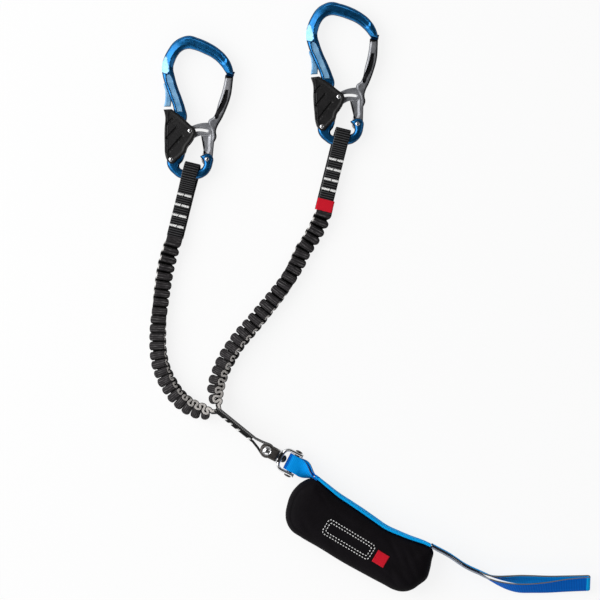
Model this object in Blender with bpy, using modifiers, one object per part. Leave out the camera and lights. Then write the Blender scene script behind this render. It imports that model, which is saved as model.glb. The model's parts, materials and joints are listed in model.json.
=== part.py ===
"""Via ferrata lanyard, laid flat on a table, in metres with +Z up.

The origin is under the swivel rivet, at table level. X and Y lie in the table's
plane: Y runs up the arms and X across them. Two carabiners with palm levers hang
in sewn sleeves on pleated elastic arms, which meet in a sewn stem. A swivel joins
the stem to a shackle, which carries the energy absorber in its pouch and the tail
loop for the harness.
"""

import math

import bmesh
import bpy
from mathutils import Matrix, Vector

# Fits
FIT = 0.0003
OVERRUN = 0.004
WELD = 0.000001
FLAT_ANGLE = math.radians(0.5)

# Carabiner: its outlines are shares of its length, from the middle of its bottom bar
CARABINER_LENGTH = 0.1284
BODY_HALF_THICKNESS = 0.0050
BODY_EDGE = 0.0022
FIN_HALF_THICKNESS = 0.0014
FIN_EDGE = 0.0006
NOSE_TONGUE_HALF_THICKNESS = 0.0016
NOSE_TONGUE_DEPTH = 0.0036
NOSE_TONGUE_EDGE = 0.0005
LEVER_HALF_THICKNESS = 0.0076
LEVER_CHEEK = 0.0023
LEVER_WALL = 0.0018
LEVER_EDGE = 0.0012
GROOVE_DEPTH = 0.0006
GROOVE_WIDTH = 0.0013
GROOVE_PITCH = 0.0088
GROOVE_COUNT = 4
GROOVE_ANGLE = math.radians(45)
GATE_ARM_HALF_THICKNESS = 0.0040
GATE_ARM_EDGE = 0.0013
GATE_WEB_HALF_THICKNESS = 0.0022
POCKET_DEPTH = 0.0012
TONGUE_RADIUS = 0.0051
FORK_RADIUS = 0.0074
TAIL_OUTER_SHARE = 0.2562
TAIL_INNER_SHARE = 0.1737
TAIL_WALL_ANGLE = math.radians(6.5)
ARM_GROOVE_RADIUS = 0.0013
ARM_GROOVE_DEPTH = 0.0009
PIN_RADIUS = 0.0010
PIN_HEAD_RADIUS = 0.0019
PIN_HEAD_HEIGHT = 0.0006
SPRING_MEAN_RADIUS = 0.00175
SPRING_WIRE_RADIUS = 0.0002
SPRING_PITCH = 0.0008
SPRING_TURNS = 2.5
SPRING_POCKET_RADIUS = 0.0023
GATE_OPENING = math.radians(27)
LEVER_SQUEEZE = math.radians(8)

LATCH_PIN_SHARES = (-0.014, 0.299)
LEVER_PIVOT_SHARES = (-0.146, 0.100)
GATE_PIVOT_SHARES = (0.104, 0.102)
BODY_SHARES = (
    (0.292, 0.685), (0.279, 0.752), (0.243, 0.819), (0.194, 0.868), (0.118, 0.917),
    (0.042, 0.949), (-0.021, 0.966), (-0.074, 0.955), (-0.123, 0.926), (-0.168, 0.868),
    (-0.195, 0.814), (-0.211, 0.752), (-0.206, 0.690), (-0.170, 0.571), (-0.128, 0.448),
    (-0.134, 0.347), (-0.151, 0.207), (-0.170, 0.130), (-0.175, 0.071), (-0.159, 0.033),
    (-0.132, 0.004), (-0.093, -0.025), (-0.050, -0.034), (0.040, -0.034), (0.082, -0.019),
    (0.118, 0.013), (0.142, 0.071), (0.144, 0.119), (0.109, 0.142), (0.055, 0.124),
    (0.081, 0.079), (0.072, 0.045), (0.045, 0.033), (-0.072, 0.033), (-0.090, 0.055),
    (-0.066, 0.093), (-0.051, 0.133), (-0.047, 0.174), (-0.055, 0.235), (-0.060, 0.298),
    (-0.048, 0.350), (-0.036, 0.403), (-0.048, 0.457), (-0.074, 0.537), (-0.101, 0.609),
    (-0.121, 0.680), (-0.132, 0.745), (-0.119, 0.792), (-0.101, 0.828), (-0.070, 0.861),
    (-0.029, 0.875), (0.015, 0.868), (0.082, 0.842), (0.149, 0.806), (0.200, 0.758),
    (0.238, 0.703),
)
BODY_CORNERS = (0, 29, 55)
FIN_SHARES = (
    (-0.190, 0.640), (-0.188, 0.575), (-0.188, 0.520), (-0.198, 0.471), (-0.150, 0.471), (-0.146, 0.515),
    (-0.166, 0.620),
)
FIN_CORNERS = (3, 4)
SPINE_PANEL_SHARES = (
    (-0.062, 0.430), (-0.069, 0.462), (-0.092, 0.537), (-0.118, 0.609), (-0.136, 0.668), (-0.154, 0.699),
    (-0.180, 0.697), (-0.184, 0.672), (-0.152, 0.571), (-0.115, 0.462), (-0.109, 0.430),
)
SPINE_PANEL_DEPTH = 0.0013
FULLER_SHARES = (
    (-0.171, 0.752), (-0.156, 0.805), (-0.132, 0.850), (-0.097, 0.893), (-0.054, 0.915), (-0.010, 0.919),
    (0.029, 0.909), (0.100, 0.880), (0.172, 0.838), (0.218, 0.792),
)
FULLER_RADIUS = 0.0017
FULLER_DEPTH = 0.0006
LEVER_SHARES = (
    (-0.198, 0.448), (-0.142, 0.451), (-0.110, 0.428), (-0.065, 0.392), (-0.012, 0.343),
    (0.015, 0.321), (0.026, 0.289), (0.015, 0.254), (-0.007, 0.218), (-0.034, 0.184),
    (-0.048, 0.146), (-0.074, 0.120), (-0.106, 0.093), (-0.126, 0.074), (-0.154, 0.073),
    (-0.172, 0.093), (-0.186, 0.129), (-0.191, 0.210), (-0.191, 0.317), (-0.186, 0.388),
    (-0.191, 0.424),
)
LEVER_CORNERS = (0, 1)
LEVER_MOUTH_SHARES = ((-0.180, 0.130), (-0.260, 0.100), (-0.260, -0.050), (0.150, -0.050), (0.150, 0.550))
GROOVE_START_SHARES = (-0.130, 0.385)
GROOVE_LENGTH = 0.013
GATE_ARM_SHARES = (
    (0.232, 0.692), (0.287, 0.676), (0.283, 0.636), (0.270, 0.547), (0.243, 0.466),
    (0.203, 0.379), (0.180, 0.339), (0.167, 0.299), (0.170, 0.256), (0.149, 0.210),
    (0.145, 0.175), (0.120, 0.175), (0.134, 0.250), (0.128, 0.310), (0.112, 0.345),
    (0.116, 0.375), (0.149, 0.400), (0.185, 0.502), (0.207, 0.569), (0.225, 0.645),
)
GATE_ARM_CORNERS = (0, 1, 10, 11)
ARM_GROOVE_SHARES = ((0.240, 0.625), (0.190, 0.430))
POCKET_SHARES = (
    (0.069, 0.262), (0.121, 0.262), (0.116, 0.215), (0.107, 0.150), (0.092, 0.150), (0.082, 0.205),
)

# Webbing and its bar tacks
SLEEVE_WIDTH = 0.0134
SLEEVE_THICKNESS = 0.0019
SLEEVE_SLIT = 0.0005
SLEEVE_EYE_LENGTH = 0.0086
SLEEVE_EYE_HALF_HEIGHT = 0.0064
SLEEVE_EYE_FULLNESS = 3.0
SLEEVE_NECK = 0.0168
SLEEVE_BAR_OFFSET = 0.0022
TACK_THICKNESS = 0.0005
TACK_WIDTH = 0.0022
TACK_MARGIN = 0.0004
TACK_EDGE = 0.0002
LEFT_SLEEVE_LENGTH = 0.0608
RIGHT_SLEEVE_LENGTH = 0.0657
LEFT_TACK_PLACES = (0.0195, 0.0290, 0.0385, 0.0482)
RIGHT_TACK_PLACES = (0.0185, 0.0275, 0.0370, 0.0460)
LABEL_LENGTH = 0.0105
LABEL_THICKNESS = 0.0007

# Where the carabiners and sleeves lie
LIFT = 0.0085
LEFT_BAR_PLACE = (-0.0672, 0.2477)
RIGHT_BAR_PLACE = (0.0687, 0.2784)
LEFT_BODY_TURN = 0.0
RIGHT_BODY_TURN = math.radians(4)
LEFT_SLEEVE_TURN = math.radians(-14)
RIGHT_SLEEVE_TURN = math.radians(-14)

# Elastic arms: their routes on the table, and the pleats of the band that follows them
ARM_WIDTH = 0.0140
ARM_THICKNESS = 0.0026
PLEAT_PITCH = 0.0080
PLEAT_DEPTH = 0.0075
PLEAT_BULGE = 0.0009
PLEAT_POINTS = 8
PLEAT_FADE = 0.0070
ARM_SETTLING = 0.0300
LEFT_TWIST_SHARES = (0.0, 0.08, 0.30, 0.50, 0.78, 0.93, 1.0)
LEFT_TWIST_DEGREES = (0, 20, 0, -16, -44, -62, -84)
RIGHT_TWIST_SHARES = (0.0, 0.06, 0.18, 0.45, 0.72, 0.90, 1.0)
RIGHT_TWIST_DEGREES = (0, 16, 0, -18, -42, -62, -84)
LEFT_ARM_ROUTE = (
    (-0.0845, 0.1883), (-0.0855, 0.1843), (-0.0882, 0.1755), (-0.0908, 0.1660), (-0.0926, 0.1570),
    (-0.0939, 0.1482), (-0.0950, 0.1401), (-0.0959, 0.1320), (-0.0968, 0.1221), (-0.0974, 0.1122),
    (-0.0977, 0.1023), (-0.0976, 0.0924), (-0.0965, 0.0825), (-0.0940, 0.0726), (-0.0897, 0.0627),
    (-0.0843, 0.0537), (-0.0776, 0.0456), (-0.0695, 0.0395), (-0.0609, 0.0357), (-0.0540, 0.0344),
    (-0.0492, 0.0346),
)
RIGHT_ARM_ROUTE = (
    (0.0502, 0.2140), (0.0492, 0.2100), (0.0463, 0.2030), (0.0423, 0.1955), (0.0376, 0.1875),
    (0.0321, 0.1795), (0.0284, 0.1715), (0.0247, 0.1640), (0.0206, 0.1565), (0.0163, 0.1495),
    (0.0114, 0.1425), (0.0063, 0.1360), (0.0011, 0.1295), (-0.0047, 0.1225), (-0.0108, 0.1150),
    (-0.0173, 0.1075), (-0.0236, 0.1003), (-0.0286, 0.0935), (-0.0333, 0.0865), (-0.0374, 0.0790),
    (-0.0410, 0.0715), (-0.0439, 0.0635), (-0.0457, 0.0555), (-0.0459, 0.0480), (-0.0439, 0.0407),
)

# Stem: a core between the legs of a strap that goes round the swivel's bush
STEM_TURN = math.radians(-39)
STEM_LENGTH = 0.0592
STEM_WIDTH = 0.0150
STEM_STRAP = 0.0020
STEM_CORE = 0.0026
STEM_CORE_END = 0.0170
STEM_FLARE = 0.0150
STEM_WRAP_START = math.radians(75)
STEM_TACK_PLACES = (0.0470, 0.0406, 0.0320, 0.0195)
STEM_TACK_WIDTH = 0.0018

# Swivel, on its own axis
SWIVEL_TURN = math.radians(-27)
BUSH_RADIUS = 0.0046
HEAD_RADIUS = 0.0063
HEAD_HALF_WIDTH = 0.0054
HEAD_PLATE = 0.0023
HEAD_EDGE = 0.0011
HEAD_BRIDGE = 0.0026
RIVET_RADIUS = 0.0022
RIVET_HEAD_RADIUS = 0.0041
RIVET_HEAD_HEIGHT = 0.0010
COLLAR_RADIUS = 0.0052
COLLAR_THICKNESS = 0.0010
SPINDLE_RADIUS = 0.0022
SPINDLE_FLANGE_RADIUS = 0.0033
SPINDLE_FLANGE = 0.0008
SPINDLE_NUT_RADIUS = 0.0036
SPINDLE_NUT_LENGTH = 0.0034
SHACKLE_HALF_WIDTH = 0.0112
SHACKLE_BAR = 0.0030
SHACKLE_CORNER = 0.0070
SHACKLE_HALF_THICKNESS = 0.0042
SHACKLE_EDGE = 0.0012
SHACKLE_PIN_REACH = 0.0264
SHACKLE_END = 0.0050
SHACKLE_PIN_RADIUS = 0.0024
SHACKLE_PIN_HEAD_RADIUS = 0.0034
SHACKLE_PIN_HEAD = 0.0014

# Absorber
WEBBING_WIDTH = 0.0150
WEBBING_THICKNESS = 0.0015
POUCH_LIFT = 0.0130
POUCH_CORNER = (0.0439, -0.0250)
POUCH_TURN = math.radians(-31)
POUCH_LENGTH = 0.1430
POUCH_WIDTH = 0.0520
POUCH_FABRIC = 0.0018
POUCH_FULLNESS = 3.5
POUCH_LIP = 0.0020
POUCH_RING_SHARES = (1.0, 0.95, 0.84, 0.64, 0.30)
POUCH_SPINE_SHARES = (0.16, 0.72)
POUCH_MIDDLE_SHARE = -0.54
PIPING_RADIUS = 0.0013
POUCH_SHARES = (
    (0.012, -0.030), (0.082, -0.036), (0.172, -0.070), (0.263, -0.082), (0.354, -0.094),
    (0.445, -0.112), (0.536, -0.126), (0.619, -0.100), (0.699, -0.064), (0.777, -0.022),
    (0.818, -0.025), (0.852, -0.070), (0.878, -0.180), (0.908, -0.370), (0.916, -0.500),
    (0.897, -0.650), (0.870, -0.800), (0.830, -0.900), (0.780, -0.950), (0.700, -0.965),
    (0.560, -0.985), (0.405, -1.000),
    (0.245, -0.995), (0.100, -1.000), (0.035, -0.985), (-0.014, -0.910), (-0.045, -0.810),
    (-0.070, -0.640), (-0.083, -0.480), (-0.080, -0.320), (-0.054, -0.180), (-0.022, -0.095),
)
STRAP_THICKNESS = 0.0022
STRAP_SHARES = (
    (0.008, 0.020), (0.082, -0.006), (0.172, -0.040), (0.263, -0.052), (0.354, -0.064),
    (0.445, -0.082), (0.536, -0.096), (0.619, -0.070), (0.699, -0.034), (0.777, 0.012),
    (0.830, 0.030),
)
STRAP_LEAN = math.radians(12)
TEAR_WIDTH = 0.0200
TEAR_LAYERS = 6
TEAR_PITCH = 0.0034
TEAR_LENGTH = 0.0900
TEAR_PLACE_SHARES = (0.44, -0.57)

# Front loop, from the pouch to the shackle pin, and the tail loop
FRONT_PINCH_HALF_GAP = 0.0010
FRONT_STEPS = 12
FRONT_STRAIGHT = 0.0090
FRONT_START_SHARES = (0.0, 0.015, 0.0)
TAIL_START_HALF_GAP = 0.0011
TAIL_OPEN_HALF_GAP = 0.0046
TAIL_END_HALF_GAP = 0.0030
TAIL_OPENING_SHARES = (0.33, 0.62, 0.76)
TAIL_LEAN = math.radians(35)
TAIL_LEAN_SHARES = (0.34, 0.62)
TAIL_LENGTH = 0.1410
TAIL_STEPS = 22
FOLD_STEPS = 6
TAIL_SHARES = (
    (0.000, 0.000, 0.000), (0.111, -0.060, -0.008), (0.213, -0.128, -0.016),
    (0.303, -0.171, -0.020), (0.399, -0.212, -0.020), (0.527, -0.240, -0.022),
    (0.655, -0.245, -0.023), (0.745, -0.246, -0.024), (0.835, -0.243, -0.024),
    (0.925, -0.240, -0.024), (0.965, -0.239, -0.024),
)

RING_SIDES = 16
HOLE_SIDES = 12


def clear_scene():
    for thing in list(bpy.data.objects):
        bpy.data.objects.remove(thing, do_unlink=True)


def collection(name):
    made = bpy.data.collections.new(name)
    bpy.context.scene.collection.children.link(made)
    return made


clear_scene()
PARTS = collection("via_ferrata_lanyard")
CUTTERS = collection("cutters")


def finish(name, colour, roughness, metallic=0.0):
    material = bpy.data.materials.new(name)
    material.use_nodes = True
    shader = material.node_tree.nodes["Principled BSDF"]
    shader.inputs["Base Color"].default_value = (*colour, 1.0)
    shader.inputs["Roughness"].default_value = roughness
    shader.inputs["Metallic"].default_value = metallic
    return material


ANODISED = finish("anodised_blue", (0.02, 0.20, 0.62), 0.32, 0.9)
FORGED = finish("forged_grey", (0.22, 0.23, 0.25), 0.42, 0.9)
POLISHED = finish("polished_steel", (0.72, 0.73, 0.75), 0.22, 1.0)
DARK_STEEL = finish("dark_steel", (0.16, 0.17, 0.18), 0.38, 0.9)
SPRING_WIRE = finish("spring_wire", (0.55, 0.56, 0.58), 0.35, 1.0)
MOULDED = finish("moulded_black", (0.02, 0.02, 0.02), 0.5)
BLACK_WEBBING = finish("black_webbing", (0.03, 0.03, 0.03), 0.85)
ELASTIC = finish("elastic_webbing", (0.05, 0.05, 0.055), 0.85)
BLUE_WEBBING = finish("blue_webbing", (0.0, 0.30, 0.78), 0.75)
WHITE_THREAD = finish("white_thread", (0.85, 0.85, 0.84), 0.8)
RED_LABEL = finish("red_label", (0.60, 0.03, 0.04), 0.7)
POUCH_CLOTH = finish("pouch_cloth", (0.015, 0.015, 0.017), 0.8)
PIPING_CLOTH = finish("piping_cloth", (0.03, 0.03, 0.032), 0.6)


def place(thing, parent, where=PARTS, material=None):
    where.objects.link(thing)
    thing.parent = parent
    if material is not None:
        thing.data.materials.clear()
        thing.data.materials.append(material)
    if where is CUTTERS:
        thing.hide_render = True
        thing.display_type = "WIRE"
    return thing


def frame(name, x, y, z, turn=0.0, parent=None):
    """An empty that carries the pieces of one group."""
    empty = bpy.data.objects.new(name, None)
    PARTS.objects.link(empty)
    empty.parent = parent
    empty.location = (x, y, z)
    empty.rotation_euler = (0, 0, turn)
    return empty


def smooth(mesh, angle=22):
    mesh.shade_smooth()
    mesh.set_sharp_from_angle(angle=math.radians(angle))


def mesh_of(thing):
    """The mesh of a curve object, with its caps welded on and its flat faces made whole."""
    bpy.context.view_layer.update()
    graph = bpy.context.evaluated_depsgraph_get()
    mesh = bpy.data.meshes.new_from_object(thing.evaluated_get(graph))
    cage = bmesh.new()
    cage.from_mesh(mesh)
    bmesh.ops.remove_doubles(cage, verts=cage.verts, dist=WELD)
    bmesh.ops.recalc_face_normals(cage, faces=cage.faces)
    bmesh.ops.dissolve_limit(cage, angle_limit=FLAT_ANGLE, verts=cage.verts, edges=cage.edges)
    cage.to_mesh(mesh)
    cage.free()
    smooth(mesh)
    return mesh


def plate(name, outline, half_thickness, parent, edge=0.0, material=None, corners=None,
          where=PARTS, low=None, steps=2, edge_steps=1):
    """A flat piece: an outline drawn as a 2D curve, extruded both ways, its rim rounded.

    Points in corners are sharp and the others run smooth; None makes them all sharp.
    Where low is given, the plate reaches from low to half_thickness instead.
    """
    curve = bpy.data.curves.new(name, "CURVE")
    curve.dimensions = "2D"
    curve.fill_mode = "BOTH"
    bottom = -half_thickness if low is None else low
    curve.extrude = (half_thickness - bottom) / 2 - edge
    curve.bevel_depth = edge
    curve.offset = -edge
    curve.bevel_resolution = edge_steps
    curve.resolution_u = 1 if corners is None else steps
    spline = curve.splines.new("BEZIER")
    spline.bezier_points.add(len(outline) - 1)
    for index, (point, spot) in enumerate(zip(spline.bezier_points, outline)):
        point.co = (spot[0], spot[1], 0)
        sharp = corners is None or index in corners
        point.handle_left_type = "VECTOR" if sharp else "AUTO"
        point.handle_right_type = "VECTOR" if sharp else "AUTO"
    spline.use_cyclic_u = True
    drawn = bpy.data.objects.new(name, curve)
    bpy.context.scene.collection.objects.link(drawn)
    mesh = mesh_of(drawn)
    mesh.name = name
    bpy.data.objects.remove(drawn)
    mesh.transform(Matrix.Translation((0, 0, (half_thickness + bottom) / 2)))
    return place(bpy.data.objects.new(name, mesh), parent, where, material)


def turned(name, profile, parent, material=None, where=PARTS, at=(0, 0, 0), along="Z", steps=RING_SIDES):
    """A turned piece: profile lists radius and height, from the top down its outer side."""
    cage = bmesh.new()
    line = [cage.verts.new((radius, 0, height)) for radius, height in profile]
    for first, second in zip(line, line[1:]):
        cage.edges.new((first, second))
    if profile[0][0] > 0:
        cage.edges.new((line[-1], line[0]))
    mesh = bpy.data.meshes.new(name)
    cage.to_mesh(mesh)
    cage.free()
    piece = place(bpy.data.objects.new(name, mesh), parent, where, material)
    piece.location = at
    piece.rotation_euler = {"Z": (0, 0, 0), "X": (0, math.pi / 2, 0), "Y": (-math.pi / 2, 0, 0)}[along]
    screw = piece.modifiers.new("turn", "SCREW")
    screw.steps = steps
    screw.render_steps = steps
    screw.use_merge_vertices = True
    screw.merge_threshold = 0.00001
    screw.use_smooth_shade = True
    return piece


def rod_cutter(name, radius, half_length, parent, at, along="Z"):
    profile = ((0, half_length), (radius, half_length), (radius, -half_length), (0, -half_length))
    return turned(name, profile, parent, where=CUTTERS, at=at, along=along, steps=HOLE_SIDES)


def box(name, low, high, parent, material=None, where=PARTS, edge=0.0):
    cage = bmesh.new()
    bmesh.ops.create_cube(cage, size=1)
    size = [top - bottom for bottom, top in zip(low, high)]
    middle = [(top + bottom) / 2 for bottom, top in zip(low, high)]
    bmesh.ops.scale(cage, vec=size, verts=cage.verts)
    bmesh.ops.translate(cage, vec=middle, verts=cage.verts)
    mesh = bpy.data.meshes.new(name)
    cage.to_mesh(mesh)
    cage.free()
    piece = place(bpy.data.objects.new(name, mesh), parent, where, material)
    if edge:
        bevel = piece.modifiers.new("edges", "BEVEL")
        bevel.width = edge
        bevel.segments = 1
    return piece


def boolean(target, other, operation="DIFFERENCE"):
    step = target.modifiers.new(other.name, "BOOLEAN")
    step.operation = operation
    step.object = other
    step.solver = "EXACT"


def set_origin(piece, x, y):
    """Moves a piece's origin to its joint's axis, with its shape left where it is."""
    piece.data.transform(Matrix.Translation((-x, -y, 0)))
    piece.location = (x, y, 0)


def ease(share):
    share = min(max(share, 0.0), 1.0)
    return share * share * (3 - 2 * share)


def smooth_route(route, steps=8):
    """Points read from a smooth curve through a route's own points, with their distances."""
    points = [Vector(spot) for spot in route]
    ends = [2 * points[0] - points[1]] + points + [2 * points[-1] - points[-2]]
    line = []
    for a, b, c, d in zip(ends, ends[1:], ends[2:], ends[3:]):
        for step in range(steps):
            t = step / steps
            line.append(0.5 * (2 * b + (c - a) * t + (2 * a - 5 * b + 4 * c - d) * t * t
                               + (3 * b - a - 3 * c + d) * t * t * t))
    line.append(points[-1])
    reach = [0.0]
    for first, second in zip(line, line[1:]):
        reach.append(reach[-1] + (second - first).length)
    return line, reach


def along_route(line, reach, distance):
    """Place and direction at a distance along a smooth route."""
    distance = min(max(distance, 0.0), reach[-1])
    index = 1
    while index < len(reach) - 1 and reach[index] < distance:
        index += 1
    share = (distance - reach[index - 1]) / (reach[index] - reach[index - 1])
    before = line[max(index - 2, 0)]
    after = line[min(index + 1, len(line) - 1)]
    return line[index - 1].lerp(line[index], share), (after - before).normalized()


def turn_frame(direction, twist):
    """Across and depth directions of a band: flat at no twist, on its edge at a quarter turn."""
    up = Vector((0, 0, 1))
    side = direction.cross(up).normalized()
    upright = side.cross(direction).normalized()
    across = side * math.cos(twist) + upright * math.sin(twist)
    depth = upright * math.cos(twist) - side * math.sin(twist)
    return across, depth


def strap(name, path, across, width, thickness, parent, material):
    """A band of webbing: an open ribbon along a path, made solid to its thickness."""
    cage = bmesh.new()
    rows = []
    for spot, side in zip(path, across):
        rows.append((cage.verts.new(spot - side * width / 2), cage.verts.new(spot + side * width / 2)))
    for first, second in zip(rows, rows[1:]):
        cage.faces.new((first[0], first[1], second[1], second[0]))
    mesh = bpy.data.meshes.new(name)
    cage.to_mesh(mesh)
    cage.free()
    smooth(mesh, 60)
    piece = place(bpy.data.objects.new(name, mesh), parent, PARTS, material)
    solid = piece.modifiers.new("thickness", "SOLIDIFY")
    solid.thickness = thickness
    solid.offset = 0
    solid.use_even_offset = True
    return piece


def on_carabiner(shares):
    return [(x * CARABINER_LENGTH, y * CARABINER_LENGTH) for x, y in shares]


def spot_on_carabiner(shares):
    return Vector((shares[0] * CARABINER_LENGTH, shares[1] * CARABINER_LENGTH))


TAIL_OUTER_RADIUS = TAIL_OUTER_SHARE * CARABINER_LENGTH
TAIL_INNER_RADIUS = TAIL_INNER_SHARE * CARABINER_LENGTH
LATCH_PIN = spot_on_carabiner(LATCH_PIN_SHARES)
LEVER_PIVOT = spot_on_carabiner(LEVER_PIVOT_SHARES)
GATE_PIVOT = spot_on_carabiner(GATE_PIVOT_SHARES)


def turned_about(spot, pivot, angle):
    return pivot + Matrix.Rotation(angle, 2) @ (spot - pivot)


def about_gate(radius, angle):
    """A spot by its distance from the gate's pivot and its angle left of straight up."""
    return GATE_PIVOT + Vector((-math.sin(angle), math.cos(angle))) * radius


def slot_path(steps=6):
    """Where the latch pin runs in the gate, as the lever and the gate turn together."""
    spots = []
    for step in range(steps + 1):
        share = step / steps
        pin = turned_about(LATCH_PIN, LEVER_PIVOT, -LEVER_SQUEEZE * share)
        spots.append(turned_about(pin, GATE_PIVOT, -GATE_OPENING * share))
    return spots


def slot_outline(path, radius, end_steps=4):
    """The outline of a slot of round ends along a path."""
    outline = []
    for line in (path, path[::-1]):
        for index, spot in enumerate(line):
            before = line[max(index - 1, 0)]
            after = line[min(index + 1, len(line) - 1)]
            ahead = (after - before).normalized()
            side = Vector((ahead.y, -ahead.x))
            outline.append(spot + side * radius)
            if index == len(line) - 1:
                for step in range(1, end_steps):
                    angle = math.pi * step / end_steps
                    outline.append(spot + (side * math.cos(angle) + ahead * math.sin(angle)) * radius)
    return outline


def gate_web_outline():
    """The thin web: the tongue at the pivot, the pocketed plate and the tail that the pin locks."""
    pin = LATCH_PIN - GATE_PIVOT
    pin_angle = math.atan2(-pin.x, pin.y)
    end = pin_angle + TAIL_WALL_ANGLE
    outline = [about_gate(TONGUE_RADIUS, math.radians(angle)) for angle in range(-75, -286, -30)]
    outline += [about_gate(TONGUE_RADIUS * 1.7, math.radians(21))]
    start = math.radians(14)
    steps = 4
    for step in range(steps + 1):
        outline.append(about_gate(TAIL_INNER_RADIUS, start + (end - start) * step / steps))
    top = math.radians(-13)
    for step in range(steps * 2 + 1):
        outline.append(about_gate(TAIL_OUTER_RADIUS, end + (top - end) * step / (steps * 2)))
    outline.append(about_gate(TAIL_INNER_RADIUS, math.radians(-18)))
    return outline


def spine_slot_outline():
    """The slot milled in the spine, in which the gate's tail swings."""
    low = math.radians(9)
    pin = LATCH_PIN - GATE_PIVOT
    high = math.atan2(-pin.x, pin.y) + TAIL_WALL_ANGLE + GATE_OPENING + math.radians(2.5)
    steps = 6
    inner = TAIL_INNER_RADIUS - FIT * 3
    outer = TAIL_OUTER_RADIUS + FIT * 3
    angles = [low + (high - low) * step / steps for step in range(steps + 1)]
    inner_side = [about_gate(inner, angle) for angle in angles]
    return inner_side + [about_gate(outer, angle) for angle in angles[::-1]]


def pin_profile(reach, radius=PIN_RADIUS, head_radius=PIN_HEAD_RADIUS, head=PIN_HEAD_HEIGHT, flat=False):
    """A riveted pin with a low domed head at each end; flat leaves the lower head without a dome."""
    half = [
        (0, reach + head), (head_radius * 0.6, reach + head * 0.85), (head_radius, reach + head * 0.35),
        (head_radius, reach), (radius, reach),
    ]
    lower = [(x, -z) for x, z in half[::-1]]
    if flat:
        low = -reach - head
        lower = [(radius, -reach), (head_radius, -reach), (head_radius * 0.9, low), (0, low)]
    return half + lower


def coil(name, at, parent):
    """A torsion spring round a rivet, as one open helix."""
    curve = bpy.data.curves.new(name, "CURVE")
    curve.dimensions = "3D"
    curve.bevel_depth = SPRING_WIRE_RADIUS
    curve.bevel_resolution = 0
    curve.use_fill_caps = True
    turn_points = 8
    count = int(SPRING_TURNS * turn_points) + 1
    spline = curve.splines.new("POLY")
    spline.points.add(count - 1)
    for index, point in enumerate(spline.points):
        angle = math.tau * index / turn_points
        height = SPRING_PITCH * index / turn_points
        point.co = (SPRING_MEAN_RADIUS * math.cos(angle), SPRING_MEAN_RADIUS * math.sin(angle), height, 1)
    drawn = bpy.data.objects.new(name, curve)
    bpy.context.scene.collection.objects.link(drawn)
    mesh = mesh_of(drawn)
    bpy.data.objects.remove(drawn)
    piece = place(bpy.data.objects.new(name, mesh), parent, PARTS, SPRING_WIRE)
    piece.location = at
    return piece


SPRING_HEIGHT = SPRING_TURNS * SPRING_PITCH + 2 * SPRING_WIRE_RADIUS
SPRING_POCKET_DEPTH = SPRING_HEIGHT + FIT


def both_faces(name, outline, surface, depth, parent):
    """Cutters that sink an outline into a plate's two faces."""
    return [
        plate(f"{name}_front", outline, surface + OVERRUN, parent, where=CUTTERS, low=surface - depth),
        plate(f"{name}_back", outline, depth - surface, parent, where=CUTTERS, low=-surface - OVERRUN),
    ]


def carabiner_body(side, parent):
    body = plate(f"carabiner_body_{side}", on_carabiner(BODY_SHARES), BODY_HALF_THICKNESS, parent,
                 BODY_EDGE, ANODISED, BODY_CORNERS)
    fin = plate(f"fin_{side}", on_carabiner(FIN_SHARES), FIN_HALF_THICKNESS, parent, FIN_EDGE,
                where=CUTTERS, corners=FIN_CORNERS, steps=1)
    nose = spot_on_carabiner(BODY_SHARES[0]), spot_on_carabiner(BODY_SHARES[-1])
    middle = (nose[0] + nose[1]) / 2
    across = (nose[0] - nose[1]) * 0.30
    down = Vector((across.y, -across.x)).normalized() * NOSE_TONGUE_DEPTH
    tongue = plate(f"nose_tongue_{side}", (middle - across - down, middle - across + down,
                   middle + across + down, middle + across - down), NOSE_TONGUE_HALF_THICKNESS, parent,
                   NOSE_TONGUE_EDGE, where=CUTTERS, corners=None)
    fork_half = GATE_WEB_HALF_THICKNESS + FIT
    slot = plate(f"spine_slot_{side}", spine_slot_outline(), fork_half, parent, where=CUTTERS)
    fork = rod_cutter(f"fork_slot_{side}", FORK_RADIUS, fork_half, parent, (*GATE_PIVOT, 0))
    for label, spot in (("gate", GATE_PIVOT), ("lever", LEVER_PIVOT)):
        boolean(body, rod_cutter(f"{label}_hole_{side}", PIN_RADIUS + FIT, BODY_HALF_THICKNESS * 2, parent,
                                 (*spot, 0)))
    boolean(body, fin, "UNION")
    boolean(body, tongue, "UNION")
    boolean(body, slot)
    boolean(body, fork)
    fuller = [spot_on_carabiner(spot) for spot in FULLER_SHARES]
    for label, outline, depth in (
        ("panel", on_carabiner(SPINE_PANEL_SHARES), SPINE_PANEL_DEPTH),
        ("fuller", slot_outline(fuller, FULLER_RADIUS), FULLER_DEPTH),
    ):
        for cutter in both_faces(f"{label}_{side}", outline, BODY_HALF_THICKNESS, depth, parent):
            boolean(body, cutter)
    pocket_middle = BODY_HALF_THICKNESS + OVERRUN - SPRING_POCKET_DEPTH
    boolean(body, rod_cutter(f"spring_pocket_{side}", SPRING_POCKET_RADIUS, OVERRUN, parent,
                             (*LEVER_PIVOT, pocket_middle)))
    return body


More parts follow.
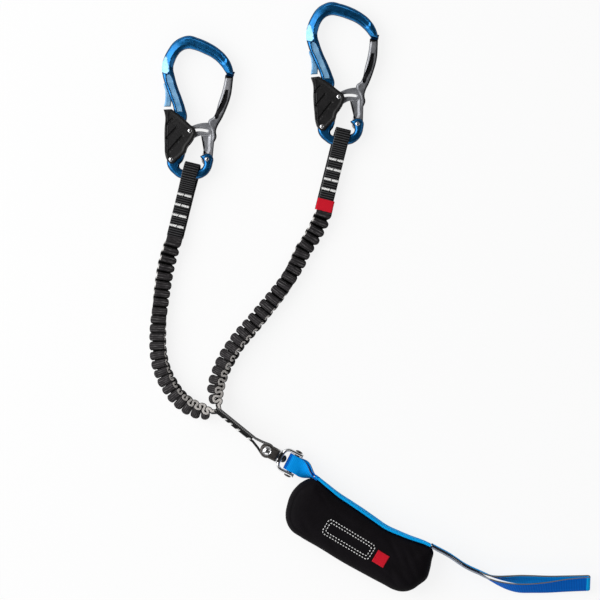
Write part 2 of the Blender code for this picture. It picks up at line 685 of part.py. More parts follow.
def carabiner_gate(side, parent):
    gate = plate(f"carabiner_gate_{side}", on_carabiner(GATE_ARM_SHARES), GATE_ARM_HALF_THICKNESS, parent,
                 GATE_ARM_EDGE, FORGED, GATE_ARM_CORNERS)
    web = plate(f"gate_web_{side}", gate_web_outline(), GATE_WEB_HALF_THICKNESS, parent, where=CUTTERS)
    boolean(gate, web, "UNION")
    slot_radius = PIN_RADIUS + FIT
    latch_slot = slot_outline(slot_path(), slot_radius)
    cuts = [plate(f"gate_slot_{side}", latch_slot, OVERRUN, parent, where=CUTTERS)]
    groove = [spot_on_carabiner(spot) for spot in ARM_GROOVE_SHARES]
    for label, outline, surface, depth in (
        ("pocket", on_carabiner(POCKET_SHARES), GATE_WEB_HALF_THICKNESS, POCKET_DEPTH),
        ("arm_groove", slot_outline(groove, ARM_GROOVE_RADIUS), GATE_ARM_HALF_THICKNESS, ARM_GROOVE_DEPTH),
    ):
        cuts += both_faces(f"{label}_{side}", outline, surface, depth, parent)
    cuts.append(rod_cutter(f"tongue_hole_{side}", PIN_RADIUS + FIT, OVERRUN, parent, (*GATE_PIVOT, 0)))
    spring_floor = GATE_WEB_HALF_THICKNESS - SPRING_POCKET_DEPTH
    cuts.append(rod_cutter(f"tongue_pocket_{side}", SPRING_POCKET_RADIUS, OVERRUN, parent,
                           (*GATE_PIVOT, spring_floor + OVERRUN)))
    top = spot_on_carabiner(GATE_ARM_SHARES[0]).lerp(spot_on_carabiner(GATE_ARM_SHARES[1]), 0.5)
    half = NOSE_TONGUE_HALF_THICKNESS + FIT
    width = CARABINER_LENGTH / 10
    cuts.append(box(f"nose_slot_{side}", (top.x - width, top.y - NOSE_TONGUE_DEPTH - FIT * 4, -half),
                    (top.x + width, top.y + width, half), parent, where=CUTTERS))
    for cutter in cuts:
        boolean(gate, cutter)
    return gate


def palm_lever(side, parent):
    lever = plate(f"palm_lever_{side}", on_carabiner(LEVER_SHARES), LEVER_HALF_THICKNESS, parent,
                  LEVER_EDGE, MOULDED, LEVER_CORNERS)
    left_side = on_carabiner(LEVER_SHARES[17:] + LEVER_SHARES[:1])
    wall = [Vector((spot[0] + LEVER_WALL, spot[1])) for spot in left_side]
    wall[-1].y += OVERRUN
    mouth = [Vector(spot) for spot in on_carabiner(LEVER_MOUTH_SHARES)]
    outline = mouth[:1][::-1] + wall + mouth[4:] + mouth[3:0:-1]
    cheek_inner = LEVER_HALF_THICKNESS - LEVER_CHEEK
    boolean(lever, plate(f"lever_hollow_{side}", outline, cheek_inner, parent, where=CUTTERS))
    for label, spot in (("latch", LATCH_PIN), ("hinge", LEVER_PIVOT)):
        boolean(lever, rod_cutter(f"{label}_bore_{side}", PIN_RADIUS + FIT, LEVER_HALF_THICKNESS + OVERRUN,
                                  parent, (*spot, 0)))
    start = spot_on_carabiner(GROOVE_START_SHARES)
    for index in range(GROOVE_COUNT):
        for face in (-1, 1):
            half = (GROOVE_LENGTH / 2, GROOVE_WIDTH / 2, GROOVE_DEPTH)
            cutter = box(f"grip_groove_{index}_{face + 1}_{side}", [-size for size in half], half, parent,
                         where=CUTTERS)
            cutter.location = (start.x, start.y - GROOVE_PITCH * index, LEVER_HALF_THICKNESS * face)
            cutter.rotation_euler = (0, 0, GROOVE_ANGLE)
            boolean(lever, cutter)
    return lever


def carabiner(side, parent):
    """One carabiner: the body, the gate, the palm lever that locks it, their pins and springs."""
    carabiner_body(side, parent)
    gate = carabiner_gate(side, parent)
    lever = palm_lever(side, parent)
    cheek_face = LEVER_HALF_THICKNESS + FIT / 2
    body_face = BODY_HALF_THICKNESS + FIT / 2
    for name, spot, reach in (
        ("latch_pin", LATCH_PIN, cheek_face), ("lever_rivet", LEVER_PIVOT, cheek_face),
        ("gate_rivet", GATE_PIVOT, body_face),
    ):
        turned(f"{name}_{side}", pin_profile(reach), parent, POLISHED, at=(*spot, 0), steps=10)
    lift = SPRING_WIRE_RADIUS + FIT / 2
    coil(f"gate_spring_{side}", (*GATE_PIVOT, GATE_WEB_HALF_THICKNESS - SPRING_POCKET_DEPTH + lift), parent)
    coil(f"lever_spring_{side}", (*LEVER_PIVOT, BODY_HALF_THICKNESS - SPRING_POCKET_DEPTH + lift), parent)
    set_origin(gate, *GATE_PIVOT)
    set_origin(lever, *LEVER_PIVOT)


def sleeve_path(length):
    """The webbing's middle line in the sleeve's side view: up the front, round the bar, down the back."""
    layer = (SLEEVE_SLIT + SLEEVE_THICKNESS) / 2
    eye_height = SLEEVE_EYE_HALF_HEIGHT + SLEEVE_THICKNESS / 2
    eye_length = SLEEVE_EYE_LENGTH + SLEEVE_THICKNESS / 2
    front = [Vector((0, -length, layer)), Vector((0, -SLEEVE_NECK, layer))]
    neck_steps = 5
    for step in range(1, neck_steps):
        share = step / neck_steps
        rise = layer + (eye_height - layer) * ease(share * 1.06)
        front.append(Vector((0, -SLEEVE_NECK * (1 - share), rise)))
    wrap = []
    wrap_steps = 12
    for step in range(wrap_steps + 1):
        angle = math.pi * step / wrap_steps
        rise = eye_height * abs(math.cos(angle)) ** (2 / SLEEVE_EYE_FULLNESS)
        reach = eye_length * math.sin(angle) ** (2 / SLEEVE_EYE_FULLNESS)
        wrap.append(Vector((0, reach, math.copysign(rise, math.cos(angle)))))
    back = [Vector((0, spot.y, -spot.z)) for spot in front[::-1]]
    return front + wrap + back


def sleeve(side, length, tacks, parent):
    path = sleeve_path(length)
    strap(f"sleeve_{side}", path, [Vector((1, 0, 0))] * len(path), SLEEVE_WIDTH, SLEEVE_THICKNESS, parent,
          BLACK_WEBBING)
    face = SLEEVE_SLIT / 2 + SLEEVE_THICKNESS + FIT
    half = SLEEVE_WIDTH / 2 - TACK_MARGIN
    for index, spot in enumerate(tacks):
        low = (-half, -spot - TACK_WIDTH / 2, face)
        high = (half, -spot + TACK_WIDTH / 2, face + TACK_THICKNESS)
        box(f"sleeve_tack_{side}_{index + 1}", low, high, parent, WHITE_THREAD, edge=TACK_EDGE)


def side_label(parent):
    """A woven label wrapped round the end of the right sleeve."""
    half_stack = SLEEVE_SLIT / 2 + SLEEVE_THICKNESS + FIT
    half_width = SLEEVE_WIDTH / 2 + FIT
    low = Vector((-half_width, -RIGHT_SLEEVE_LENGTH, -half_stack))
    high = Vector((half_width, -RIGHT_SLEEVE_LENGTH + LABEL_LENGTH, half_stack))
    wall = Vector((LABEL_THICKNESS, 0, LABEL_THICKNESS))
    label = box("sleeve_label", low - wall, high + wall, parent, RED_LABEL)
    over = Vector((0, OVERRUN, 0))
    boolean(label, box("label_hollow", low - over, high + over, parent, where=CUTTERS))


def between(share, shares, values):
    """A value read from a table of shares, with an even start and stop at each of them."""
    for low, high, first, second in zip(shares, shares[1:], values, values[1:]):
        if share <= high:
            return first + (second - first) * ease((share - low) / (high - low))
    return values[-1]


def elastic_arm(side, route, twist_shares, twist_degrees):
    """A band pleated like an accordion, which lies on the table and turns on edge towards the stem."""
    line, reach = smooth_route([(*spot, 0) for spot in route])
    length = reach[-1]
    pleats = round(length / PLEAT_PITCH)
    count = pleats * PLEAT_POINTS
    path = []
    sides = []
    for index in range(count + 1):
        share = index / count
        phase = math.tau * index / PLEAT_POINTS
        spot, ahead = along_route(line, reach, length * share)
        twist = math.radians(between(share, twist_shares, twist_degrees))
        across, depth = turn_frame(ahead, twist)
        resting = ARM_WIDTH / 2 * abs(math.sin(twist)) + FIT
        resting += (PLEAT_DEPTH + ARM_THICKNESS) / 2 * abs(math.cos(twist))
        laid = ease(length * share / ARM_SETTLING)
        lowered = ease(length * (1 - share) / ARM_SETTLING)
        height = LIFT + (resting - LIFT) * laid
        spot.z = SWIVEL_LIFT + (height - SWIVEL_LIFT) * lowered
        near_end = min(length * share, length * (1 - share)) / PLEAT_FADE
        swing = PLEAT_DEPTH / 2 * ease(near_end)
        bulge = PLEAT_BULGE * math.sin(2 * phase) * ease(near_end)
        path.append(spot + depth * swing * math.sin(phase) - ahead * bulge)
        sides.append(across)
    strap(f"elastic_arm_{side}", path, sides, ARM_WIDTH, ARM_THICKNESS, None, ELASTIC)


def stem(parent):
    """The sewn stem: the arms' webbing between the legs of the strap round the bush."""
    leg = STEM_CORE / 2 + FIT + STEM_STRAP / 2
    wrap = BUSH_RADIUS + FIT + STEM_STRAP / 2
    side = [Vector((-STEM_LENGTH, -leg, 0)), Vector((-STEM_FLARE, -leg, 0))]
    steps = 12
    arc = []
    for step in range(steps + 1):
        angle = STEM_WRAP_START + (math.tau - 2 * STEM_WRAP_START) * step / steps
        arc.append(Vector((-wrap * math.cos(angle), -wrap * math.sin(angle), 0)))
    path = side + arc + [Vector((spot.x, -spot.y, 0)) for spot in side[::-1]]
    strap("stem_loop", path, [Vector((0, 0, 1))] * len(path), STEM_WIDTH, STEM_STRAP, parent, BLACK_WEBBING)
    half = STEM_CORE / 2
    box("stem_core", (-STEM_LENGTH, -half, -STEM_WIDTH / 2), (-STEM_CORE_END, half, STEM_WIDTH / 2), parent,
        BLACK_WEBBING)
    face = leg + STEM_STRAP / 2 + FIT
    tack_half = STEM_WIDTH / 2 - TACK_MARGIN
    for index, spot in enumerate(STEM_TACK_PLACES):
        box(f"stem_tack_{index + 1}", (-spot - STEM_TACK_WIDTH / 2, -face - TACK_THICKNESS, -tack_half),
            (-spot + STEM_TACK_WIDTH / 2, -face, tack_half), parent, WHITE_THREAD, edge=TACK_EDGE)


EYE_REACH = BUSH_RADIUS + FIT + STEM_STRAP
FLANGE_START = EYE_REACH + FIT
BRIDGE_START = FLANGE_START + SPINDLE_FLANGE + FIT
BRIDGE_END = BRIDGE_START + HEAD_BRIDGE
COLLAR_START = BRIDGE_END + FIT
CROWN_START = COLLAR_START + COLLAR_THICKNESS + FIT
CROWN_END = CROWN_START + SHACKLE_BAR
HEAD_SLOT_HALF = STEM_WIDTH / 2 + FIT * 1.5
HEAD_HALF_THICKNESS = HEAD_SLOT_HALF + HEAD_PLATE
SWIVEL_LIFT = HEAD_HALF_THICKNESS + FIT + RIVET_HEAD_HEIGHT


def swivel_head(parent):
    outline = [Vector((BRIDGE_END, HEAD_HALF_WIDTH)), Vector((HEAD_HALF_WIDTH, HEAD_HALF_WIDTH))]
    steps = 10
    for step in range(steps + 1):
        angle = math.radians(60) + math.radians(240) * step / steps
        outline.append(Vector((HEAD_RADIUS * math.cos(angle), HEAD_RADIUS * math.sin(angle))))
    outline += [Vector((HEAD_HALF_WIDTH, -HEAD_HALF_WIDTH)), Vector((BRIDGE_END, -HEAD_HALF_WIDTH))]
    head = plate("swivel_head", outline, HEAD_HALF_THICKNESS, parent, HEAD_EDGE, DARK_STEEL)
    over = HEAD_RADIUS * 2
    low, high = (-over, -over, -HEAD_SLOT_HALF), (BRIDGE_START, over, HEAD_SLOT_HALF)
    boolean(head, box("head_slot", low, high, parent, where=CUTTERS))
    boolean(head, rod_cutter("head_bore", RIVET_RADIUS + FIT, HEAD_HALF_THICKNESS * 2, parent, (0, 0, 0)))
    boolean(head, rod_cutter("spindle_bore", SPINDLE_RADIUS + FIT, OVERRUN, parent,
                             (BRIDGE_START, 0, 0), "X"))


def ring(name, outer, inner, half_length, parent, material, at=(0, 0, 0), along="Z"):
    profile = ((outer, half_length), (outer, -half_length), (inner, -half_length), (inner, half_length))
    return turned(name, profile, parent, material, at=at, along=along)


def swivel(parent):
    """The swivel: head on the stem's bush, and the spindle on which the shackle spins."""
    swivel_head(parent)
    ring("swivel_bush", BUSH_RADIUS, RIVET_RADIUS + FIT, HEAD_SLOT_HALF - FIT, parent, POLISHED)
    turned("swivel_rivet", pin_profile(HEAD_HALF_THICKNESS + FIT, RIVET_RADIUS, RIVET_HEAD_RADIUS,
                                       RIVET_HEAD_HEIGHT, True), parent, POLISHED, steps=24)
    ring("swivel_collar", COLLAR_RADIUS, SPINDLE_RADIUS + FIT, COLLAR_THICKNESS / 2, parent, POLISHED,
         (COLLAR_START + COLLAR_THICKNESS / 2, 0, 0), "X")
    nut = CROWN_END + FIT
    tip = nut + SPINDLE_NUT_LENGTH
    turned("swivel_spindle", (
        (0, tip), (SPINDLE_NUT_RADIUS * 0.6, tip - SPINDLE_NUT_LENGTH * 0.08),
        (SPINDLE_NUT_RADIUS * 0.95, tip - SPINDLE_NUT_LENGTH * 0.4), (SPINDLE_NUT_RADIUS, nut),
        (SPINDLE_RADIUS, nut), (SPINDLE_RADIUS, FLANGE_START + SPINDLE_FLANGE),
        (SPINDLE_FLANGE_RADIUS, FLANGE_START + SPINDLE_FLANGE), (SPINDLE_FLANGE_RADIUS, FLANGE_START),
        (0, FLANGE_START),
    ), parent, DARK_STEEL, along="X")


def u_outline(start, end, half_width, corner, steps=5):
    """Half of a U: from its end along one leg, round the corner to the middle of its crown."""
    spots = [Vector((end, -half_width))]
    for step in range(steps + 1):
        angle = math.radians(90) * step / steps
        x = start + corner * (1 - math.sin(angle))
        spots.append(Vector((x, -half_width + corner * (1 - math.cos(angle)))))
    return spots


def shackle(parent):
    end = SHACKLE_PIN_REACH + SHACKLE_END
    outer = u_outline(CROWN_START, end, SHACKLE_HALF_WIDTH, SHACKLE_CORNER)
    inner = u_outline(CROWN_END, end, SHACKLE_HALF_WIDTH - SHACKLE_BAR, SHACKLE_CORNER - SHACKLE_BAR)
    outline = outer + [Vector((spot.x, -spot.y)) for spot in outer[::-1]]
    outline += [Vector((spot.x, -spot.y)) for spot in inner] + inner[::-1]
    piece = plate("shackle", outline, SHACKLE_HALF_THICKNESS, parent, SHACKLE_EDGE, POLISHED)
    boolean(piece, rod_cutter("crown_bore", SPINDLE_RADIUS + FIT, OVERRUN, parent,
                              ((CROWN_START + CROWN_END) / 2, 0, 0), "X"))
    boolean(piece, rod_cutter("leg_bore", SHACKLE_PIN_RADIUS + FIT, SHACKLE_HALF_WIDTH * 2, parent,
                              (SHACKLE_PIN_REACH, 0, 0), "Y"))
    turned("shackle_pin", pin_profile(SHACKLE_HALF_WIDTH + FIT, SHACKLE_PIN_RADIUS, SHACKLE_PIN_HEAD_RADIUS,
                                      SHACKLE_PIN_HEAD), parent, DARK_STEEL, at=(SHACKLE_PIN_REACH, 0, 0),
           along="Y")


def folded_loop(name, route, twist, half_gap, steps, flip=1):
    """Two layers of one webbing along a route, folded over at its end.

    twist and half_gap give the band's turn and half its layers' distance for a share of the route.
    """
    line, reach = smooth_route(route)
    stations = []
    for index in range(steps + 1):
        share = index / steps
        spot, ahead = along_route(line, reach, reach[-1] * share)
        across, depth = turn_frame(ahead, twist(share))
        stations.append((spot, ahead, across, depth * flip, half_gap(share)))
    path = [spot + depth * gap for spot, ahead, across, depth, gap in stations]
    sides = [across for spot, ahead, across, depth, gap in stations]
    spot, ahead, across, depth, gap = stations[-1]
    for step in range(1, FOLD_STEPS):
        angle = math.pi * step / FOLD_STEPS
        path.append(spot + ahead * gap * math.sin(angle) + depth * gap * math.cos(angle))
        sides.append(across)
    path += [spot - depth * gap for spot, ahead, across, depth, gap in stations[::-1]]
    sides += [across for spot, ahead, across, depth, gap in stations[::-1]]
    return strap(name, path, sides, WEBBING_WIDTH, WEBBING_THICKNESS, None, BLUE_WEBBING)


def front_loop():
    """Blue webbing from the pouch, where it stands on edge, to its fold round the shackle pin."""
    ahead = Vector((math.cos(SWIVEL_TURN), math.sin(SWIVEL_TURN), 0))
    pin = ahead * SHACKLE_PIN_REACH + Vector((0, 0, SWIVEL_LIFT))
    straight = pin + ahead * FRONT_STRAIGHT
    pinch = Vector((*POUCH_CORNER, POUCH_LIFT)) + Vector(FRONT_START_SHARES) * POUCH_WIDTH
    route = [pinch, pinch.lerp(straight, 0.5), straight, pin.lerp(straight, 0.5), pin]
    wrap = SHACKLE_PIN_RADIUS + FIT + WEBBING_THICKNESS / 2
    opening = wrap - FRONT_PINCH_HALF_GAP
    folded_loop("front_loop", route, lambda share: math.radians(90) * (1 - ease(share / 0.62)),
                lambda share: FRONT_PINCH_HALF_GAP + opening * ease(share), FRONT_STEPS)


def on_pouch(shares):
    return [Vector((x * POUCH_LENGTH, y * POUCH_WIDTH)) for x, y in shares]


def inset(outline, distance):
    """The outline moved inwards by a distance, point by point."""
    moved = []
    for index, spot in enumerate(outline):
        before = outline[index - 1]
        after = outline[(index + 1) % len(outline)]
        ahead = (after - before).normalized()
        moved.append(spot + Vector((ahead.y, -ahead.x)) * distance)
    return moved


def pouch_shell(name, parent, sign):
    """One half of the pouch: a shallow dome over the outline, with the flat middle that it lies on."""
    rim = inset(on_pouch(POUCH_SHARES), PIPING_RADIUS * 2 + FIT)
    height = POUCH_LIFT - FIT / 2
    first, last = [share * POUCH_LENGTH for share in POUCH_SPINE_SHARES]
    middle = POUCH_MIDDLE_SHARE * POUCH_WIDTH
    cage = bmesh.new()
    rings = []
    heights = [(1.0, 0.0)]
    for share in POUCH_RING_SHARES:
        dome = (1 - share ** POUCH_FULLNESS) ** (1 / POUCH_FULLNESS)
        heights.append((share, POUCH_LIP + (height - POUCH_LIP) * dome))
    for share, rise in heights:
        loop = []
        for spot in rim:
            centre = Vector((min(max(spot.x, first), last), middle))
            at = centre.lerp(spot, share)
            loop.append(cage.verts.new((at.x, at.y, sign * (FIT / 2 + rise))))
        rings.append(loop)
    for outer, inner in zip(rings, rings[1:]):
        for index in range(len(outer)):
            other = (index + 1) % len(outer)
            corners = (outer[index], outer[other], inner[other], inner[index])
            cage.faces.new(corners[::-sign])
    cage.faces.new(rings[-1][::-sign])
    bmesh.ops.triangulate(cage, faces=[face for face in cage.faces if len(face.verts) > 4])
    mesh = bpy.data.meshes.new(name)
    cage.to_mesh(mesh)
    cage.free()
    smooth(mesh, 60)
    piece = place(bpy.data.objects.new(name, mesh), parent, PARTS, POUCH_CLOTH)
    solid = piece.modifiers.new("fabric", "SOLIDIFY")
    solid.thickness = POUCH_FABRIC
    solid.offset = -1
    return piece


def piping(parent):
    """The corded edge sewn round the seam of the two halves."""
    curve = bpy.data.curves.new("pouch_piping", "CURVE")
    curve.dimensions = "3D"
    curve.bevel_depth = PIPING_RADIUS
    curve.bevel_resolution = 1
    spline = curve.splines.new("POLY")
    outline = inset(on_pouch(POUCH_SHARES), PIPING_RADIUS)
    spline.points.add(len(outline) - 1)
    for point, spot in zip(spline.points, outline):
        point.co = (spot.x, spot.y, 0, 1)
    spline.use_cyclic_u = True
    drawn = bpy.data.objects.new("pouch_piping", curve)
    bpy.context.scene.collection.objects.link(drawn)
    mesh = mesh_of(drawn)
    bpy.data.objects.remove(drawn)
    place(bpy.data.objects.new("pouch_piping", mesh), parent, PARTS, PIPING_CLOTH)


def tear_webbing(parent):
    """The webbing that tears to stop a fall, folded to and fro on its edge inside the pouch."""
    middle = on_pouch((TEAR_PLACE_SHARES,))[0]
    radius = TEAR_PITCH / 2
    low = middle.y - TEAR_PITCH * (TEAR_LAYERS - 1) / 2
    path = []
    bend_steps = 4
    for layer in range(TEAR_LAYERS):
        way = 1 if layer % 2 == 0 else -1
        height = low + TEAR_PITCH * layer
        path.append(Vector((middle.x - way * TEAR_LENGTH / 2, height, 0)))
        path.append(Vector((middle.x + way * TEAR_LENGTH / 2, height, 0)))
        if layer < TEAR_LAYERS - 1:
            for step in range(1, bend_steps):
                angle = math.pi * step / bend_steps
                path.append(path[-1 - (step - 1)] + Vector((way * radius * math.sin(angle),
                                                            radius * (1 - math.cos(angle)), 0)))
    strap("tear_webbing", path, [Vector((0, 0, 1))] * len(path), TEAR_WIDTH, WEBBING_THICKNESS, parent,
          BLUE_WEBBING)


def top_strap(parent):
    """The strap that runs along the pouch on its edge, and leans over it in the middle."""
    route = [Vector((*spot, 0)) for spot in on_pouch(STRAP_SHARES)]
    across = []
    for index in range(len(route)):
        lean = STRAP_LEAN * math.sin(math.pi * index / (len(route) - 1))
        across.append(Vector((0, -math.sin(lean), math.cos(lean))))
    strap("top_strap", route, across, WEBBING_WIDTH, STRAP_THICKNESS, parent, BLUE_WEBBING)


def tail_loop(pouch):
    """The harness loop: its layers leave the pouch on edge, lean back and open out, and meet in a fold."""
    bpy.context.view_layer.update()
    end = Vector((*on_pouch(STRAP_SHARES[-1:])[0], 0))
    start = pouch.matrix_world @ (end + Vector((FIT * 4, 0, 0)))
    route = [start + Vector(share) * TAIL_LENGTH for share in TAIL_SHARES]
    first, last = TAIL_LEAN_SHARES
    opening, opened, closing = TAIL_OPENING_SHARES

    def twist(share):
        return math.radians(90) + TAIL_LEAN * ease((share - first) / (last - first))

    def half_gap(share):
        gap = TAIL_START_HALF_GAP
        gap += (TAIL_OPEN_HALF_GAP - TAIL_START_HALF_GAP) * ease((share - opening) / (opened - opening))
        return gap + (TAIL_END_HALF_GAP - TAIL_OPEN_HALF_GAP) * ease((share - closing) / (1 - closing))

    folded_loop("tail_loop", route, twist, half_gap, TAIL_STEPS)


def build():
    for side, bar, body_turn, sleeve_turn, length, tacks in (
        ("left", LEFT_BAR_PLACE, LEFT_BODY_TURN, LEFT_SLEEVE_TURN, LEFT_SLEEVE_LENGTH,
         LEFT_TACK_PLACES),
        ("right", RIGHT_BAR_PLACE, RIGHT_BODY_TURN, RIGHT_SLEEVE_TURN, RIGHT_SLEEVE_LENGTH,
         RIGHT_TACK_PLACES),
    ):
        carabiner(side, frame(f"carabiner_frame_{side}", *bar, LIFT, body_turn))
        offset = Matrix.Rotation(body_turn, 2) @ Vector((-SLEEVE_BAR_OFFSET, 0))
        webbing = frame(f"sleeve_frame_{side}", bar[0] + offset.x, bar[1] + offset.y, LIFT, sleeve_turn)
        sleeve(side, length, tacks, webbing)
        if side == "right":
            side_label(webbing)
    elastic_arm("left", LEFT_ARM_ROUTE, LEFT_TWIST_SHARES, LEFT_TWIST_DEGREES)
    elastic_arm("right", RIGHT_ARM_ROUTE, RIGHT_TWIST_SHARES, RIGHT_TWIST_DEGREES)
    stem(frame("stem_frame", 0, 0, SWIVEL_LIFT, STEM_TURN))
    axis = frame("swivel_frame", 0, 0, SWIVEL_LIFT, SWIVEL_TURN)
    swivel(axis)
    shackle(axis)
    front_loop()
    pouch = frame("pouch_frame", *POUCH_CORNER, POUCH_LIFT, POUCH_TURN)
    pouch_shell("pouch_front", pouch, 1)
    pouch_shell("pouch_back", pouch, -1)
    piping(pouch)
    tear_webbing(pouch)
    top_strap(pouch)
    tail_loop(pouch)


build()
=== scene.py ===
"""The dressed via ferrata lanyard: forged carabiners, pleated arms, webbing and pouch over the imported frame."""

import json
import math
import random

import bmesh
import bpy
import numpy as np
from mathutils import Matrix, Vector
from mathutils.geometry import delaunay_2d_cdt
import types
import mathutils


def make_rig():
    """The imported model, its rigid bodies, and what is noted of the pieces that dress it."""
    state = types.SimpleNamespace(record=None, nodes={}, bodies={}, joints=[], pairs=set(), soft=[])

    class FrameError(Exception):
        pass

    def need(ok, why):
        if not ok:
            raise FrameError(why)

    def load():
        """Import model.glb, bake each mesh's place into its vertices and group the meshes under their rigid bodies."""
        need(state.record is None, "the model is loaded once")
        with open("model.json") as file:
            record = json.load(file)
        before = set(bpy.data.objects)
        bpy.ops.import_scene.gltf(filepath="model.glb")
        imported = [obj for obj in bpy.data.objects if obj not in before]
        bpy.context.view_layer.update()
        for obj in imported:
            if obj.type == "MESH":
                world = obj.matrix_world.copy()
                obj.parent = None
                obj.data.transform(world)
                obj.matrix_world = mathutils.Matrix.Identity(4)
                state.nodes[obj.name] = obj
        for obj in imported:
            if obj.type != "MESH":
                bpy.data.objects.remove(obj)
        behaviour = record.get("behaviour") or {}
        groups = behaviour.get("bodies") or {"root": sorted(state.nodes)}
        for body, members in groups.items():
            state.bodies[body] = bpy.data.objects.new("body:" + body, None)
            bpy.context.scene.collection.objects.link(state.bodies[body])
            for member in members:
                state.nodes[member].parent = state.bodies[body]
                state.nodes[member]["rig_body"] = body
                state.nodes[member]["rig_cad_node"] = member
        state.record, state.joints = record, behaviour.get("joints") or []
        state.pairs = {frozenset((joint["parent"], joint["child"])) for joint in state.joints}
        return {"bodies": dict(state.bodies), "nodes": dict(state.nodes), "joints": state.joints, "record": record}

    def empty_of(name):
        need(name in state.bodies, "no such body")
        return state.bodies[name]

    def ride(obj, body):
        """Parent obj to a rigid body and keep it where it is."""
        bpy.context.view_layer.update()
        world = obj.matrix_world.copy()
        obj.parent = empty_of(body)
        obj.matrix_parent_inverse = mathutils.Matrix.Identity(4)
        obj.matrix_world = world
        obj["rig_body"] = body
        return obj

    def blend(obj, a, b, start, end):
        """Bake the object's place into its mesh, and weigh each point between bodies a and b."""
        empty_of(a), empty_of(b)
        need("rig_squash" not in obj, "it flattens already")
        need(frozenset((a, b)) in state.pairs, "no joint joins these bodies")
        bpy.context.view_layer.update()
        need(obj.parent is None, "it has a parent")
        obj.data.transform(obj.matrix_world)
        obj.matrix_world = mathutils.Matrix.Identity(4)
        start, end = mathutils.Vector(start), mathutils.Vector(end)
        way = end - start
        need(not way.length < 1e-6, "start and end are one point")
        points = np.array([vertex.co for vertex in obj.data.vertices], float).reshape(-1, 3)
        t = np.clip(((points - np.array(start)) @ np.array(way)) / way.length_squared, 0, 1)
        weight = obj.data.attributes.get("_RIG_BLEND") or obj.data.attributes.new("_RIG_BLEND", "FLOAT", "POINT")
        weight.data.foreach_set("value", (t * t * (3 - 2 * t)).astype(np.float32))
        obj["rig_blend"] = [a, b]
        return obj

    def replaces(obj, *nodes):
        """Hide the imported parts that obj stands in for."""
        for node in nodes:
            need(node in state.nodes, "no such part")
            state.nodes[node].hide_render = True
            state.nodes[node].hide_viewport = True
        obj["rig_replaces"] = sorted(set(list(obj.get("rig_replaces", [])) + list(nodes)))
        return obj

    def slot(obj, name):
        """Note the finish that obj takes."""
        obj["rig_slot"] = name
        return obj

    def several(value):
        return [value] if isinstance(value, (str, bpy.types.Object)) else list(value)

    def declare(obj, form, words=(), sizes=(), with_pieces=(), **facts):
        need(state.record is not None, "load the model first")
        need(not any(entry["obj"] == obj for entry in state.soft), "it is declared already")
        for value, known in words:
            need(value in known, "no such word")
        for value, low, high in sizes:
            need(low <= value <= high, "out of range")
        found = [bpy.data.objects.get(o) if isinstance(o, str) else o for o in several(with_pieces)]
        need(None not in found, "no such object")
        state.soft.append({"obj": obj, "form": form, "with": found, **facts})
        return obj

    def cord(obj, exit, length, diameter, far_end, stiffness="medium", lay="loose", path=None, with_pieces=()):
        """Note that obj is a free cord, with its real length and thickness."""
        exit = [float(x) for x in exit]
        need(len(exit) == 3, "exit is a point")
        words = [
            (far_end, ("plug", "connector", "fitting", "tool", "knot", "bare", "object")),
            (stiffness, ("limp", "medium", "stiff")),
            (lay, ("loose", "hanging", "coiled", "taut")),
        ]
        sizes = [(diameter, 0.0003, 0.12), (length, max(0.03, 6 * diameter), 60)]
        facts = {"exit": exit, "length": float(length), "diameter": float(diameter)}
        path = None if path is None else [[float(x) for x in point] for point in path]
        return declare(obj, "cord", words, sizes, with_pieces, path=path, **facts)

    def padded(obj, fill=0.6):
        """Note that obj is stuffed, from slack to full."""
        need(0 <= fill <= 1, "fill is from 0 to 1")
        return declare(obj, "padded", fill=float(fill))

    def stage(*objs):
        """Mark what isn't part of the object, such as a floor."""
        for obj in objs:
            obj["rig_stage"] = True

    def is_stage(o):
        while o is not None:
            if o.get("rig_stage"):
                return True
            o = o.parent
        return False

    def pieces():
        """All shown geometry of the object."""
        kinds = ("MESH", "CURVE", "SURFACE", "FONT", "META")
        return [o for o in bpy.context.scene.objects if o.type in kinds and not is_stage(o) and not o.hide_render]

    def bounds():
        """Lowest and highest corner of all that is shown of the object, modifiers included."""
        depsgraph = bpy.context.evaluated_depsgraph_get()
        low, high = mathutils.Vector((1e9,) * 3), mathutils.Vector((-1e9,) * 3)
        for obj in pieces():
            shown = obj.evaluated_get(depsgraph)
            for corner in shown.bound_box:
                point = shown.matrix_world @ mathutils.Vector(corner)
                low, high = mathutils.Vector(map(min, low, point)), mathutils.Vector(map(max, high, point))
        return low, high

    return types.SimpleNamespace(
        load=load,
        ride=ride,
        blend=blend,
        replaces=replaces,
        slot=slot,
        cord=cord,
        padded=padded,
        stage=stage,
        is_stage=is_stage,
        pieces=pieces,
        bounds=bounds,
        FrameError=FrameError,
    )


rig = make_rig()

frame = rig.load()
CAD_BOX = [list(corner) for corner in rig.bounds()]
NODES = frame["nodes"]
rng = random.Random(7)


